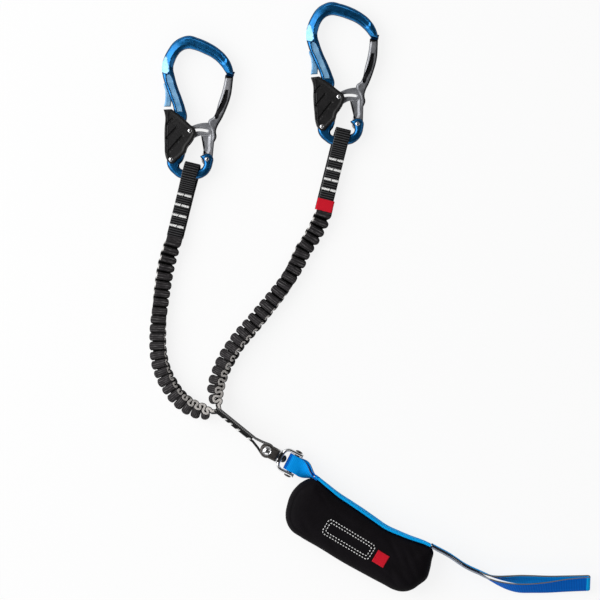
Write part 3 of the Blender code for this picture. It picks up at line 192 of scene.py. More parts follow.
# Materials
class Shade:
    """A Principled material with a few short ways to add its nodes."""

    def __init__(self, name, metallic=0.0, roughness=0.5):
        self.material = bpy.data.materials.new(name)
        self.material.use_nodes = True
        self.tree = self.material.node_tree
        self.shader = self.tree.nodes["Principled BSDF"]
        self.shader.inputs["Metallic"].default_value = metallic
        self.shader.inputs["Roughness"].default_value = roughness

    def node(self, kind, inputs=None, **settings):
        made = self.tree.nodes.new(kind)
        for key, value in settings.items():
            setattr(made, key, value)
        for key, value in (inputs or {}).items():
            if isinstance(value, bpy.types.NodeSocket):
                self.tree.links.new(value, made.inputs[key])
            else:
                made.inputs[key].default_value = value
        return made

    def place(self, kind="Object", scale=(1, 1, 1)):
        source = self.node("ShaderNodeTexCoord").outputs[kind]
        return self.node("ShaderNodeMapping", {"Vector": source, "Scale": scale}).outputs[0]

    def noise(self, where, scale, detail=3.0, rough=0.55):
        return self.node("ShaderNodeTexNoise", {"Vector": where, "Scale": scale, "Detail": detail,
                                                "Roughness": rough}).outputs["Fac"]

    def wave(self, where, period, axis="Y", distortion=0.0):
        """Bands a period apart, at their brightest where the coordinate is nought."""
        return self.node("ShaderNodeTexWave", {"Vector": where, "Scale": math.tau / 20 / period,
                                               "Distortion": distortion, "Detail": 1.0, "Detail Scale": 2.0,
                                               "Phase Offset": math.pi}, bands_direction=axis).outputs["Fac"]

    def ramp(self, factor, stops):
        made = self.node("ShaderNodeValToRGB", {"Fac": factor})
        band = made.color_ramp
        while len(band.elements) < len(stops):
            band.elements.new(0.5)
        for element, (spot, colour) in zip(band.elements, stops):
            element.position = spot
            element.color = (*colour, 1.0) if hasattr(colour, "__len__") else (colour, colour, colour, 1.0)
        return made.outputs["Color"]

    def mix(self, factor, first, second, blend="MIX"):
        made = self.node("ShaderNodeMix", data_type="RGBA", blend_type=blend)
        for socket, value in ((made.inputs[0], factor), (made.inputs[6], first), (made.inputs[7], second)):
            if isinstance(value, bpy.types.NodeSocket):
                self.tree.links.new(value, socket)
            elif hasattr(value, "__len__"):
                socket.default_value = (*value, 1.0)
            else:
                socket.default_value = value
        return made.outputs[2]

    def sum(self, first, second, operation="ADD"):
        made = self.node("ShaderNodeMath", operation=operation)
        for socket, value in zip(made.inputs, (first, second)):
            if isinstance(value, bpy.types.NodeSocket):
                self.tree.links.new(value, socket)
            else:
                socket.default_value = value
        return made.outputs[0]

    def colour(self, socket):
        self.tree.links.new(socket, self.shader.inputs["Base Color"])

    def rough(self, socket):
        self.tree.links.new(socket, self.shader.inputs["Roughness"])

    def bump(self, height, distance, strength=1.0):
        made = self.node("ShaderNodeBump", {"Height": height, "Distance": distance, "Strength": strength})
        if self.shader.inputs["Normal"].links:
            self.tree.links.new(self.shader.inputs["Normal"].links[0].from_socket, made.inputs["Normal"])
        self.tree.links.new(made.outputs[0], self.shader.inputs["Normal"])


def metal(name, dark, light, roughness=(0.25, 0.4), grain=900, bump=0.00004, coat=0.0, metallic=1.0):
    shade = Shade(name, metallic=metallic)
    where = shade.place()
    cloud = shade.noise(where, 90, 4)
    shade.colour(shade.ramp(cloud, ((0.3, dark), (0.7, light))))
    fine = shade.noise(where, grain, 2)
    shade.rough(shade.ramp(shade.noise(where, 260, 5), ((0.3, roughness[0]), (0.7, roughness[1]))))
    shade.bump(fine, bump)
    shade.shader.inputs["Coat Weight"].default_value = coat
    shade.shader.inputs["Coat Roughness"].default_value = 0.12
    return shade.material


def webbing(name, valley, crest, ribs=2.1, across=0.9, roughness=0.8, ribbed=0.00012, fleck=0.0, gloss=0.2,
            start=0.30):
    """Woven tape, from UVs in millimetres: ribs run across it and the warp's threads along it."""
    shade = Shade(name, roughness=roughness)
    shade.shader.inputs["Specular IOR Level"].default_value = gloss
    where = shade.place("UV")
    rib = shade.wave(where, ribs, "Y")
    threads = shade.wave(where, across, "X", 0.4)
    grain = shade.noise(shade.place("UV", (0.9, 3.0, 1)), 2.2, 3)
    weave = shade.sum(shade.sum(rib, 0.6, "MULTIPLY"), shade.sum(threads, 0.25, "MULTIPLY"))
    tone = shade.sum(weave, shade.sum(grain, 0.5, "MULTIPLY"))
    paint = shade.ramp(tone, ((start, valley), (1.05, crest)))
    if fleck:
        spots = shade.ramp(shade.noise(shade.place("UV", (0.5, 4.0, 1)), 1.6, 2), ((0.60, 0.0), (0.72, 1.0)))
        paint = shade.mix(shade.sum(spots, fleck, "MULTIPLY"), paint, (0.42, 0.41, 0.40))
    shade.colour(paint)
    shade.bump(weave, ribbed, 0.8)
    return shade.material


BLUE_METAL = metal("anodised_blue_metal", (0.008, 0.115, 0.31), (0.015, 0.165, 0.42), (0.24, 0.34), 700, 0.00002, 0.2)
# A darker copy of the blue metal, for painted shade.
BLUE_SHADE = metal("anodised_blue_painted_shade", (0.002, 0.018, 0.060), (0.004, 0.030, 0.085), (0.40, 0.55), 700, 0.00002)
# A lighter brushed blue, also used as painted light.
BLUE_PANEL_LIT = metal("brushed_blue_painted_light", (0.07, 0.28, 0.55), (0.32, 0.58, 0.82), (0.38, 0.52), 1500, 0.00010, metallic=0.4)
# A near-white blue for the painted highlight on the flank's facet.
BLUE_HIGHLIGHT = metal("blue_facet_painted_highlight", (0.17, 0.44, 0.70), (0.34, 0.62, 0.84), (0.34, 0.46), 900, 0.00003, metallic=0.5)
GREY_METAL = metal("forged_grey_metal", (0.20, 0.205, 0.22), (0.33, 0.335, 0.355), (0.38, 0.52), 900, 0.00005)
# A near-black copy of the metal, for painted shade.
METAL_SHADE = metal("metal_painted_shade", (0.010, 0.010, 0.011), (0.024, 0.024, 0.026), (0.45, 0.60), 900, 0.00005)
HEAD_METAL = metal("dark_head_metal", (0.060, 0.056, 0.052), (0.11, 0.10, 0.095), (0.34, 0.48), 900, 0.00004)
BRIGHT_STEEL = metal("polished_steel_metal", (0.62, 0.62, 0.63), (0.82, 0.82, 0.83), (0.08, 0.18), 600, 0.00001)
DARK_STEEL = metal("blackened_steel_metal", (0.045, 0.042, 0.040), (0.10, 0.095, 0.09), (0.28, 0.42), 900, 0.00003)
WIRE = metal("spring_wire_metal", (0.35, 0.35, 0.36), (0.5, 0.5, 0.51), (0.2, 0.35), 900, 0.00002)
STEM_FACE = webbing("stem_tape", (0.004, 0.004, 0.0045), (0.035, 0.035, 0.037), 1.3, 0.6, 0.85, 0.0001, 0.1)
STEM_LIGHT = webbing("stem_light_selvedge", (0.030, 0.030, 0.031), (0.20, 0.20, 0.20), 1.7, 0.5, 0.85, 0.00014, 0.6)
STEM_DARK = webbing("stem_dark_selvedge", (0.004, 0.004, 0.0045), (0.030, 0.030, 0.031), 1.7, 0.5, 0.85, 0.0001, 0.15)
RIBBED_BLACK = webbing("ribbed_black_webbing", (0.0015, 0.0015, 0.0018), (0.065, 0.065, 0.069), 2.1, 0.7, 0.85, 0.00016, 0.1, 0.1, 0.62)
PALE_EDGE = webbing("webbing_selvedge", (0.035, 0.035, 0.036), (0.14, 0.14, 0.14), 2.1, 0.5, 0.85, 0.0001, 0.1)
BLUE_FACE = webbing("azure_webbing", (0.0, 0.20, 0.62), (0.0, 0.36, 0.95), 1.5, 0.6, 0.7, 0.00006, gloss=0.06)
# A darker and a lighter copy of the azure webbing: painted shade and painted light.
BLUE_WEBBING_SHADE = webbing("azure_webbing_painted_shade", (0.0, 0.075, 0.40), (0.0, 0.15, 0.64), 1.5, 0.6, 0.7, 0.00006, gloss=0.06)
BLUE_WEBBING_LIT = webbing("azure_webbing_painted_light", (0.0, 0.30, 0.80), (0.004, 0.48, 1.0), 1.5, 0.6, 0.7, 0.00006, gloss=0.06)
PALE_SELVEDGE = webbing("pale_selvedge", (0.16, 0.17, 0.18), (0.52, 0.55, 0.57), 0.8, 0.5, 0.75, 0.00008)
BLUE_EDGE = webbing("blue_selvedge", (0.050, 0.052, 0.055), (0.20, 0.19, 0.175), 0.8, 0.5, 0.75, 0.00008)


def moulded():
    shade = Shade("moulded_black_plastic", roughness=0.5)
    shade.shader.inputs["Specular IOR Level"].default_value = 0.30
    where = shade.place()
    shade.colour(shade.ramp(shade.noise(where, 120, 4), ((0.3, (0.0040, 0.0038, 0.0042)), (0.7, (0.0095, 0.0088, 0.0095)))))
    shade.rough(shade.ramp(shade.noise(where, 500, 3), ((0.3, 0.36), (0.7, 0.50))))
    shade.bump(shade.noise(where, 2200, 2), 0.00005)
    return shade.material


def elastic():
    """The pleated band: dark knit with a few pale threads across each crest, and black painted shade in the folds."""
    shade = Shade("elastic_knit", roughness=0.85)
    shade.shader.inputs["Specular IOR Level"].default_value = 0.12
    # Painted shade: the knit turns black where the band's face sinks into its folds.
    fold_shade = shade.ramp(shade.node("ShaderNodeAttribute", attribute_name="fold_shade").outputs["Fac"],
                      ((0.58, 0.0), (0.86, 1.0)))
    streak = shade.noise(shade.place("UV", (0.14, 2.6, 1)), 1.2, 4, 0.6)
    threads = shade.wave(shade.place("UV"), 1.1, "Y", 0.6)
    tone = shade.sum(shade.sum(streak, 0.85, "MULTIPLY"), shade.sum(threads, 0.20, "MULTIPLY"))
    knit = shade.ramp(tone, ((0.34, (0.010, 0.0092, 0.0098)), (0.58, (0.033, 0.030, 0.032)),
                             (0.80, (0.18, 0.175, 0.175))))
    shade.colour(shade.mix(fold_shade, (0.0014, 0.0013, 0.0014), knit))
    shade.bump(tone, 0.0003, 0.7)
    return shade.material


def core():
    """The pale rubber at the pleated band's edge, bright where the pleat stands out and darkened by painted shade where
    it sinks in.
    """
    shade = Shade("elastic_core_edge", roughness=0.85)
    grain = shade.noise(shade.place("UV", (1, 2.5, 1)), 2.4, 3)
    pale = shade.ramp(grain, ((0.3, (0.40, 0.375, 0.355)), (0.7, (0.74, 0.71, 0.68))))
    # Painted shade: the pale core turns dark where the pleat sinks in.
    fold_shade = shade.ramp(shade.node("ShaderNodeAttribute", attribute_name="fold_shade").outputs["Fac"],
                      ((0.30, 0.0), (0.55, 1.0)))
    shade.colour(shade.mix(fold_shade, (0.004, 0.0038, 0.004), pale))
    shade.bump(grain, 0.00015)
    return shade.material


def cloth(name, dark, light, roughness=0.75, gloss=0.1):
    shade = Shade(name, roughness=roughness)
    shade.shader.inputs["Specular IOR Level"].default_value = gloss
    where = shade.place()
    knit = shade.noise(where, 1500, 2)
    cloud = shade.noise(where, 60, 4)
    shade.colour(shade.ramp(shade.sum(shade.sum(knit, 0.5, "MULTIPLY"), shade.sum(cloud, 0.5, "MULTIPLY")),
                            ((0.35, dark), (0.65, light))))
    shade.bump(knit, 0.00012, 0.6)
    shade.bump(cloud, 0.0010, 0.5)
    return shade.material


def thread(name, low, high):
    shade = Shade(name, roughness=0.7)
    where = shade.place()
    twist = shade.noise(where, 1800, 2)
    shade.colour(shade.ramp(twist, ((0.3, low), (0.7, high))))
    shade.bump(twist, 0.00008)
    return shade.material


def woven_label():
    shade = Shade("red_woven_label", roughness=0.75)
    shade.shader.inputs["Specular IOR Level"].default_value = 0.1
    where = shade.place("UV")
    weave = shade.sum(shade.wave(where, 0.42, "Y"), shade.wave(where, 0.42, "X"), "MULTIPLY")
    grain = shade.noise(where, 3.0, 2)
    shade.colour(shade.ramp(shade.sum(weave, shade.sum(grain, 0.4, "MULTIPLY")),
                            ((0.1, (0.50, 0.006, 0.018)), (0.9, (0.80, 0.014, 0.035)))))
    shade.bump(weave, 0.00006)
    return shade.material


PLASTIC = moulded()
KNIT = elastic()
CORE = core()
NEOPRENE = cloth("black_neoprene", (0.0018, 0.0011, 0.0019), (0.0050, 0.0035, 0.0053), 0.72)
BINDING = cloth("black_binding", (0.0040, 0.0036, 0.0040), (0.022, 0.020, 0.021), 0.66)
WHITE = thread("white_stitching", (0.70, 0.70, 0.69), (0.95, 0.95, 0.94))
RED_THREAD = thread("red_stitching", (0.42, 0.006, 0.016), (0.70, 0.012, 0.030))
LABEL = woven_label()


# Geometry helpers
def keep(name, mesh, material, body=None, stands_for=(), slot=None):
    """A finished piece that rides a body and stands for CAD nodes."""
    piece = bpy.data.objects.new(name, mesh)
    bpy.context.scene.collection.objects.link(piece)
    for each in material if isinstance(material, (list, tuple)) else (material,):
        mesh.materials.append(each)
    if body:
        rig.ride(piece, body)
    if stands_for:
        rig.replaces(piece, *stands_for)
    if slot:
        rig.slot(piece, slot)
    return piece


def soften(mesh, angle=38):
    mesh.shade_smooth()
    mesh.set_sharp_from_angle(angle=math.radians(angle))


def ease(share):
    share = min(max(share, 0.0), 1.0)
    return share * share * (3 - 2 * share)


def smooth_route(route, steps=8):
    points = [Vector(spot) for spot in route]
    ends = [2 * points[0] - points[1]] + points + [2 * points[-1] - points[-2]]
    line = []
    for a, b, c, d in zip(ends, ends[1:], ends[2:], ends[3:]):
        for step in range(steps):
            t = step / steps
            line.append(0.5 * (2 * b + (c - a) * t + (2 * a - 5 * b + 4 * c - d) * t * t
                               + (3 * b - a - 3 * c + d) * t * t * t))
    line.append(points[-1])
    reach = [0.0]
    for first, second in zip(line, line[1:]):
        reach.append(reach[-1] + (second - first).length)
    return line, reach


def along_route(line, reach, distance):
    distance = min(max(distance, 0.0), reach[-1])
    index = 1
    while index < len(reach) - 1 and reach[index] < distance:
        index += 1
    share = (distance - reach[index - 1]) / (reach[index] - reach[index - 1])
    before = line[max(index - 2, 0)]
    after = line[min(index + 1, len(line) - 1)]
    return line[index - 1].lerp(line[index], share), (after - before).normalized()


def turn_frame(direction, twist):
    side = direction.cross(Vector((0, 0, 1))).normalized()
    upright = side.cross(direction).normalized()
    return (side * math.cos(twist) + upright * math.sin(twist),
            upright * math.cos(twist) - side * math.sin(twist))


def respace(points, sides, step, marks):
    """The stations of a band, evenly spaced along its path, each with the mark that its place carries."""
    reach = [0.0]
    for first, second in zip(points, points[1:]):
        reach.append(reach[-1] + (second - first).length)
    count = max(2, round(reach[-1] / step))
    made = []
    index = 0
    for number in range(count + 1):
        distance = reach[-1] * number / count
        while index < len(reach) - 2 and reach[index + 1] < distance:
            index += 1
        share = (distance - reach[index]) / max(reach[index + 1] - reach[index], 1e-9)
        mark = marks[index] + (marks[index + 1] - marks[index]) * share if marks else 0.0
        made.append((points[index].lerp(points[index + 1], share),
                     sides[index].lerp(sides[index + 1], share).normalized(), distance, mark))
    return made


PROFILE = (
    (-0.94, 1.0, 0), (-0.5, 1.0, 0), (0.0, 1.0, 0), (0.5, 1.0, 0), (0.94, 1.0, 0),
    (0.985, 0.78, 1), (1.0, 0.56, 2), (1.0, -0.56, 1), (0.985, -0.78, 1),
    (0.94, -1.0, 0), (0.5, -1.0, 0), (0.0, -1.0, 0), (-0.5, -1.0, 0), (-0.94, -1.0, 0),
    (-0.985, -0.78, 1), (-1.0, -0.56, 2), (-1.0, 0.56, 1), (-0.985, 0.78, 1),
)


def band(name, points, sides, width, thickness, materials, body=None, stands_for=(), step=0.0005,
         shape=None, slot=None, marks=None):
    """Woven tape as a closed solid with rounded selvedges and UVs in millimetres.

    shape gives a station's width and thickness factors and a sideways shift for its distance.
    A pleated band's marks tell, from -1 to 1, how far its upper face stands out of the folds.
    """
    stations = respace(points, sides, step, marks)
    cage = bmesh.new()
    layer = cage.loops.layers.uv.new("UVMap")
    fold_shade = cage.verts.layers.float.new("fold_shade")
    lengths = []
    total = 0.0
    for index, (a, b, kind) in enumerate(PROFILE):
        after = PROFILE[(index + 1) % len(PROFILE)]
        lengths.append(total)
        total += math.hypot((after[0] - a) * width / 2, (after[1] - b) * thickness / 2) * 1000
    lengths.append(total)
    rings = []
    for index, (spot, side, distance, mark) in enumerate(stations):
        before = stations[max(index - 1, 0)][0]
        after = stations[min(index + 1, len(stations) - 1)][0]
        ahead = (after - before).normalized()
        depth = side.cross(ahead).normalized()
        wide, thick, shift = shape(distance, distance / stations[-1][2], mark) if shape else (1.0, 1.0, 0.0)
        bared = 0.5 * ease((distance / stations[-1][2] - 0.72) / 0.2)
        ring = []
        for a, b, kind in PROFILE:
            vert = cage.verts.new(spot + side * (a * width / 2 * wide + shift) + depth * (b * thickness / 2 * thick))
            # This attribute, how far the face stands out of its folds, drives painted shade in the folds.
            vert[fold_shade] = 0.5 + 0.5 * b * mark if abs(a) < 1 else 0.5 + 0.5 * mark + bared
            ring.append(vert)
        rings.append(ring)
    count = len(PROFILE)
    for row, (first, second) in enumerate(zip(rings, rings[1:])):
        low, high = stations[row][2] * 1000, stations[row + 1][2] * 1000
        for index in range(count):
            other = (index + 1) % count
            face = cage.faces.new((first[index], first[other], second[other], second[index]))
            face.material_index = min(PROFILE[index][2], len(materials) - 1)
            for loop, (u, v) in zip(face.loops, ((index, low), (index + 1, low), (index + 1, high), (index, high))):
                loop[layer].uv = (lengths[u], v)
    for ring, way in ((rings[0], 1), (rings[-1], -1)):
        face = cage.faces.new(ring[::-1] if way == 1 else ring)
        face.material_index = min(1, len(materials) - 1)
    bmesh.ops.recalc_face_normals(cage, faces=cage.faces)
    mesh = bpy.data.meshes.new(name)
    cage.to_mesh(mesh)
    cage.free()
    soften(mesh, 60)
    return keep(name, mesh, materials, body, stands_for, slot)


def spline_outline(outline, corners=(), steps=10):
    """A closed outline run smooth through its points, as a curve with automatic handles, sharp at corners."""
    curve = bpy.data.curves.new("outline", "CURVE")
    curve.dimensions = "2D"
    curve.fill_mode = "NONE"
    curve.resolution_u = steps
    spline = curve.splines.new("BEZIER")
    spline.bezier_points.add(len(outline) - 1)
    for index, (point, spot) in enumerate(zip(spline.bezier_points, outline)):
        point.co = (spot[0], spot[1], 0)
        kind = "VECTOR" if corners is None or index in corners else "AUTO"
        point.handle_left_type = kind
        point.handle_right_type = kind
    spline.use_cyclic_u = True
    drawn = bpy.data.objects.new("outline", curve)
    bpy.context.scene.collection.objects.link(drawn)
    bpy.context.view_layer.update()
    mesh = drawn.to_mesh()
    spots = [(vertex.co.x, vertex.co.y) for vertex in mesh.vertices]
    drawn.to_mesh_clear()
    bpy.data.objects.remove(drawn)
    bpy.data.curves.remove(curve)
    return np.array(spots)


def respaced(outline, step):
    """A closed outline with points about a step apart, its sharp corners kept."""
    made = []
    count = len(outline)
    carry = 0.0
    for index in range(count):
        a, b = outline[index], outline[(index + 1) % count]
        length = float(np.linalg.norm(b - a))
        if length < 1e-9:
            continue
        pieces = max(1, round(length / step)) if length > step * 0.8 else 1
        if pieces == 1 and carry + length < step * 0.7:
            carry += length
            continue
        carry = 0.0
        for number in range(pieces):
            made.append(a + (b - a) * number / pieces)
    return np.array(made)


def rim_distance(points, loops):
    """Each point's distance from the nearest of the loops' segments."""
    best = np.full(len(points), 1e9)
    for loop in loops:
        for a, b in zip(loop, np.roll(loop, -1, axis=0)):
            along = b - a
            share = np.clip(((points - a) @ along) / max(along @ along, 1e-18), 0, 1)
            gap = points - (a + share[:, None] * along)
            best = np.minimum(best, np.hypot(gap[:, 0], gap[:, 1]))
    return best


def inside(points, loop):
    """Whether each point is inside a closed outline, by the crossing rule."""
    within = np.zeros(len(points), bool)
    for a, b in zip(loop, np.roll(loop, -1, axis=0)):
        if a[1] == b[1]:
            continue
        crosses = (a[1] > points[:, 1]) != (b[1] > points[:, 1])
        at = a[0] + (points[:, 1] - a[1]) * (b[0] - a[0]) / (b[1] - a[1])
        within ^= crosses & (points[:, 0] < at)
    return within


def relief(outline, height, holes=(), step=0.0006, depth=0.0030, grid=0.0012, low=None, creases=()):
    """A forged plate as bmesh: its two faces stand at a height that depends on place and rim distance.

    height takes the points' x, y and distance arrays and gives z; low does it for the lower face.
    Along each of the creases, which are lines of points, the net follows the relief closely.
    """
    loops = [respaced(np.array(outline), step)] + [respaced(np.array(hole), step) for hole in holes]
    first, last = loops[0].min(axis=0), loops[0].max(axis=0)
    spots = []
    offsets = [step * 0.4, step * 0.95, step * 1.6, step * 2.4, step * 3.3, step * 4.2]
    for loop in loops:
        ahead = np.roll(loop, -1, axis=0) - np.roll(loop, 1, axis=0)
        ahead /= np.maximum(np.hypot(ahead[:, 0], ahead[:, 1]), 1e-12)[:, None]
        sideways = np.stack([-ahead[:, 1], ahead[:, 0]], axis=1)
        for offset in (o for o in offsets if o < depth):
            for way in (1, -1):
                ring = loop + sideways * offset * way
                near = rim_distance(ring, loops)
                spots.append(ring[near > offset * 0.985])
    xs = np.arange(first[0], last[0], grid)
    ys = np.arange(first[1], last[1], grid * 0.866)
    mesh_x, mesh_y = np.meshgrid(xs, ys)
    mesh_x = mesh_x + (np.arange(len(ys)) % 2)[:, None] * grid / 2
    lattice = np.stack([mesh_x.ravel(), mesh_y.ravel()], axis=1)
    deepest = max((o for o in offsets if o < depth), default=0)
    lattice = lattice[rim_distance(lattice, loops) > deepest + grid * 0.45]
    for crease in creases:
        lattice = lattice[np.min(np.linalg.norm(lattice[:, None] - crease[None], axis=2), axis=1) > grid * 0.5]
        spots.append(crease[rim_distance(crease, loops) > deepest * 0.6])
    spots = np.concatenate(spots + [lattice])
    keepers = inside(spots, loops[0])
    for loop in loops[1:]:
        keepers &= ~inside(spots, loop)
    spots = spots[keepers]
    corners = np.concatenate(loops + [spots])
    edges = []
    start = 0
    for loop in loops:
        edges += [(start + index, start + (index + 1) % len(loop)) for index in range(len(loop))]
        start += len(loop)
    verts, _, faces, *_ = delaunay_2d_cdt([Vector(spot) for spot in corners], edges, [], 1, 1e-7)
    flat = np.array([(spot.x, spot.y) for spot in verts])
    middles = np.array([flat[list(face)].mean(axis=0) for face in faces])
    good = inside(middles, loops[0])
    for loop in loops[1:]:
        good &= ~inside(middles, loop)
    away = rim_distance(flat, loops)
    away[away < 1e-6] = 0
    top = height(flat[:, 0], flat[:, 1], away)
    bottom = -top if low is None else low(flat[:, 0], flat[:, 1], away)
    cage = bmesh.new()
    upper = [cage.verts.new((x, y, z)) for (x, y), z in zip(flat, top)]
    lower = [cage.verts.new((x, y, z)) for (x, y), z in zip(flat, bottom)]
    for face, wanted in zip(faces, good):
        if wanted:
            cage.faces.new([upper[index] for index in face])
            cage.faces.new([lower[index] for index in face][::-1])
    cage.verts.index_update()
    size = len(upper)
    for edge in [edge for edge in cage.edges if len(edge.link_faces) == 1 and edge.verts[0].index < size]:
        loop = edge.link_loops[0]
        a, b = loop.vert, loop.link_loop_next.vert
        cage.faces.new((b, a, lower[a.index], lower[b.index]))
    bmesh.ops.delete(cage, geom=[vert for vert in cage.verts if not vert.link_faces], context="VERTS")
    return cage


def signed_distance(x, y, loop):
    """Distance from a closed outline, positive inside it."""
    spots = np.stack([x, y], axis=1)
    return rim_distance(spots, [loop]) * np.where(inside(spots, loop), 1, -1)


def ridge_lines(outline, offsets, spacing):
    """Lines of points beside a closed outline, at the offsets on its inner side."""
    line = respaced(np.array(outline), spacing)
    ahead = np.roll(line, -1, axis=0) - np.roll(line, 1, axis=0)
    ahead /= np.maximum(np.hypot(ahead[:, 0], ahead[:, 1]), 1e-12)[:, None]
    inward = np.stack([-ahead[:, 1], ahead[:, 0]], axis=1)
    if np.sum(line[:, 0] * np.roll(line[:, 1], -1) - np.roll(line[:, 0], -1) * line[:, 1]) < 0:
        inward = -inward
    made = []
    for offset in offsets:
        ring = line + inward * offset
        made.append(ring[rim_distance(ring, [line]) >= abs(offset) * 0.97])
    return made


def run_lines(path, offsets, spacing):
    """Lines of points beside an open path, at the offsets on both of its sides."""
    fine = [path[0]]
    for a, b in zip(path, path[1:]):
        pieces = max(1, round(float(np.linalg.norm(b - a)) / spacing))
        fine += [a + (b - a) * number / pieces for number in range(1, pieces + 1)]
    fine = np.array(fine)
    ahead = np.gradient(fine, axis=0)
    ahead /= np.maximum(np.hypot(ahead[:, 0], ahead[:, 1]), 1e-12)[:, None]
    sideways = np.stack([-ahead[:, 1], ahead[:, 0]], axis=1)
    return [fine + sideways * offset for offset in offsets]


def placed(cage, name, matrix, material, body, stands_for, angle=38, cut=(), slot=None):
    """The bmesh as a piece in the row frame, after its cutters have been taken out of it."""
    cage.transform(matrix)
    mesh = bpy.data.meshes.new(name)
    cage.to_mesh(mesh)
    cage.free()
    if cut:
        mesh = carved(mesh, cut)
        mesh.name = name
    soften(mesh, angle)
    return keep(name, mesh, material, body, stands_for, slot)


def carved(mesh, cutters, operation="DIFFERENCE"):
    """The mesh less its cutters' meshes, or joined with them."""
    piece = bpy.data.objects.new("carved", mesh)
    bpy.context.scene.collection.objects.link(piece)
    tools = []
    for cutter in cutters:
        tool = bpy.data.objects.new("tool", cutter)
        bpy.context.scene.collection.objects.link(tool)
        tools.append(tool)
        step = piece.modifiers.new("cut", "BOOLEAN")
        step.operation = operation
        step.solver = "EXACT"
        step.object = tool
    graph = bpy.context.evaluated_depsgraph_get()
    graph.update()
    made = bpy.data.meshes.new_from_object(piece.evaluated_get(graph))
    for thing in tools + [piece]:
        bpy.data.objects.remove(thing)
    return made


def prism(outline, low, high, matrix):
    """A closed prism over a convex or simple outline, as a cutter's mesh."""
    cage = bmesh.new()
    bottom = [cage.verts.new((x, y, low)) for x, y in outline]
    top = [cage.verts.new((x, y, high)) for x, y in outline]
    cage.faces.new(bottom[::-1])
    cage.faces.new(top)
    count = len(outline)
    for index in range(count):
        other = (index + 1) % count
        cage.faces.new((bottom[index], bottom[other], top[other], top[index]))
    bmesh.ops.recalc_face_normals(cage, faces=cage.faces)
    cage.transform(matrix)
    mesh = bpy.data.meshes.new("prism")
    cage.to_mesh(mesh)
    cage.free()
    return mesh


def turned(name, profile, matrix, material, body, stands_for=(), sides=40, angle=40, slot=None):
    """A lathe-turned piece about local Z: profile lists radius and height from the top down."""
    cage = bmesh.new()
    rings = []
    for radius, height in profile:
        if radius <= 0:
            rings.append([cage.verts.new((0, 0, height))])
        else:
            rings.append([cage.verts.new((radius * math.cos(math.tau * n / sides),
                                          radius * math.sin(math.tau * n / sides), height)) for n in range(sides)])
    pairs = list(zip(rings, rings[1:]))
    if profile[0][0] > 0:
        pairs.append((rings[-1], rings[0]))
    for first, second in pairs:
        for n in range(sides):
            m = (n + 1) % sides
            if len(first) == 1:
                cage.faces.new((first[0], second[n], second[m]))
            elif len(second) == 1:
                cage.faces.new((first[n], second[0], first[m]))
            else:
                cage.faces.new((first[n], second[n], second[m], first[m]))
    bmesh.ops.recalc_face_normals(cage, faces=cage.faces)
    return placed(cage, name, matrix, material, body, stands_for, angle, slot=slot)


# Carabiners: outlines as shares of their length, as in the part
LENGTH = 0.1284
LIFT = 0.0085
FIT = 0.0003
BODY_HALF = 0.0050
BODY_ROUND = 0.0026
CHAMFER = 0.0034
GATE_FLANK = 0.0152
GATE_HALF = 0.0040
WEB_HALF = 0.0022
LEVER_HALF = 0.0076
LEVER_CHEEK = 0.0023
LEVER_WALL = 0.0018
PIN_RADIUS = 0.0010
OPENING = math.radians(27)
SQUEEZE = math.radians(8)
TAIL_OUTER, TAIL_INNER = 0.0329, 0.0223
BODY_SHARES = (
    (0.292, 0.685), (0.279, 0.752), (0.243, 0.819), (0.194, 0.868), (0.118, 0.917),
    (0.042, 0.949), (-0.021, 0.966), (-0.074, 0.955), (-0.123, 0.926), (-0.168, 0.868),
    (-0.195, 0.814), (-0.211, 0.752), (-0.206, 0.690), (-0.170, 0.571), (-0.128, 0.448),
    (-0.134, 0.347), (-0.151, 0.207), (-0.170, 0.130), (-0.175, 0.071), (-0.159, 0.033),
    (-0.132, 0.004), (-0.093, -0.025), (-0.050, -0.034), (0.040, -0.034), (0.082, -0.019),
    (0.118, 0.013), (0.142, 0.071), (0.144, 0.119), (0.109, 0.142), (0.055, 0.124),
    (0.081, 0.079), (0.072, 0.045), (0.045, 0.033), (-0.072, 0.033), (-0.090, 0.055),
    (-0.066, 0.093), (-0.051, 0.133), (-0.047, 0.174), (-0.055, 0.235), (-0.060, 0.298),
    (-0.048, 0.350), (-0.036, 0.403), (-0.048, 0.457), (-0.074, 0.537), (-0.101, 0.609),
    (-0.121, 0.680), (-0.132, 0.745), (-0.119, 0.792), (-0.101, 0.828), (-0.070, 0.861),
    (-0.029, 0.875), (0.015, 0.868), (0.082, 0.842), (0.149, 0.806), (0.200, 0.758),
    (0.238, 0.703),
)
FIN_SHARES = (
    (-0.190, 0.640), (-0.188, 0.575), (-0.188, 0.520), (-0.198, 0.471), (-0.150, 0.471),
    (-0.146, 0.515), (-0.166, 0.620),
)
SPINE_PANEL_SHARES = (
    (-0.062, 0.430), (-0.069, 0.462), (-0.092, 0.537), (-0.118, 0.609), (-0.136, 0.668),
    (-0.154, 0.699), (-0.180, 0.697), (-0.184, 0.672), (-0.152, 0.571), (-0.115, 0.462),
    (-0.109, 0.430),
)
FLANK_SHARES = (
    (-0.184, 0.850), (-0.166, 0.809), (-0.154, 0.751), (-0.152, 0.712), (-0.176, 0.692),
    (-0.215, 0.702), (-0.230, 0.760), (-0.205, 0.830),
)
FULLER_SHARES = (
    (-0.171, 0.752), (-0.156, 0.805), (-0.132, 0.850), (-0.097, 0.893), (-0.054, 0.915),
    (-0.010, 0.919), (0.029, 0.909), (0.100, 0.880), (0.172, 0.838), (0.218, 0.792),
)
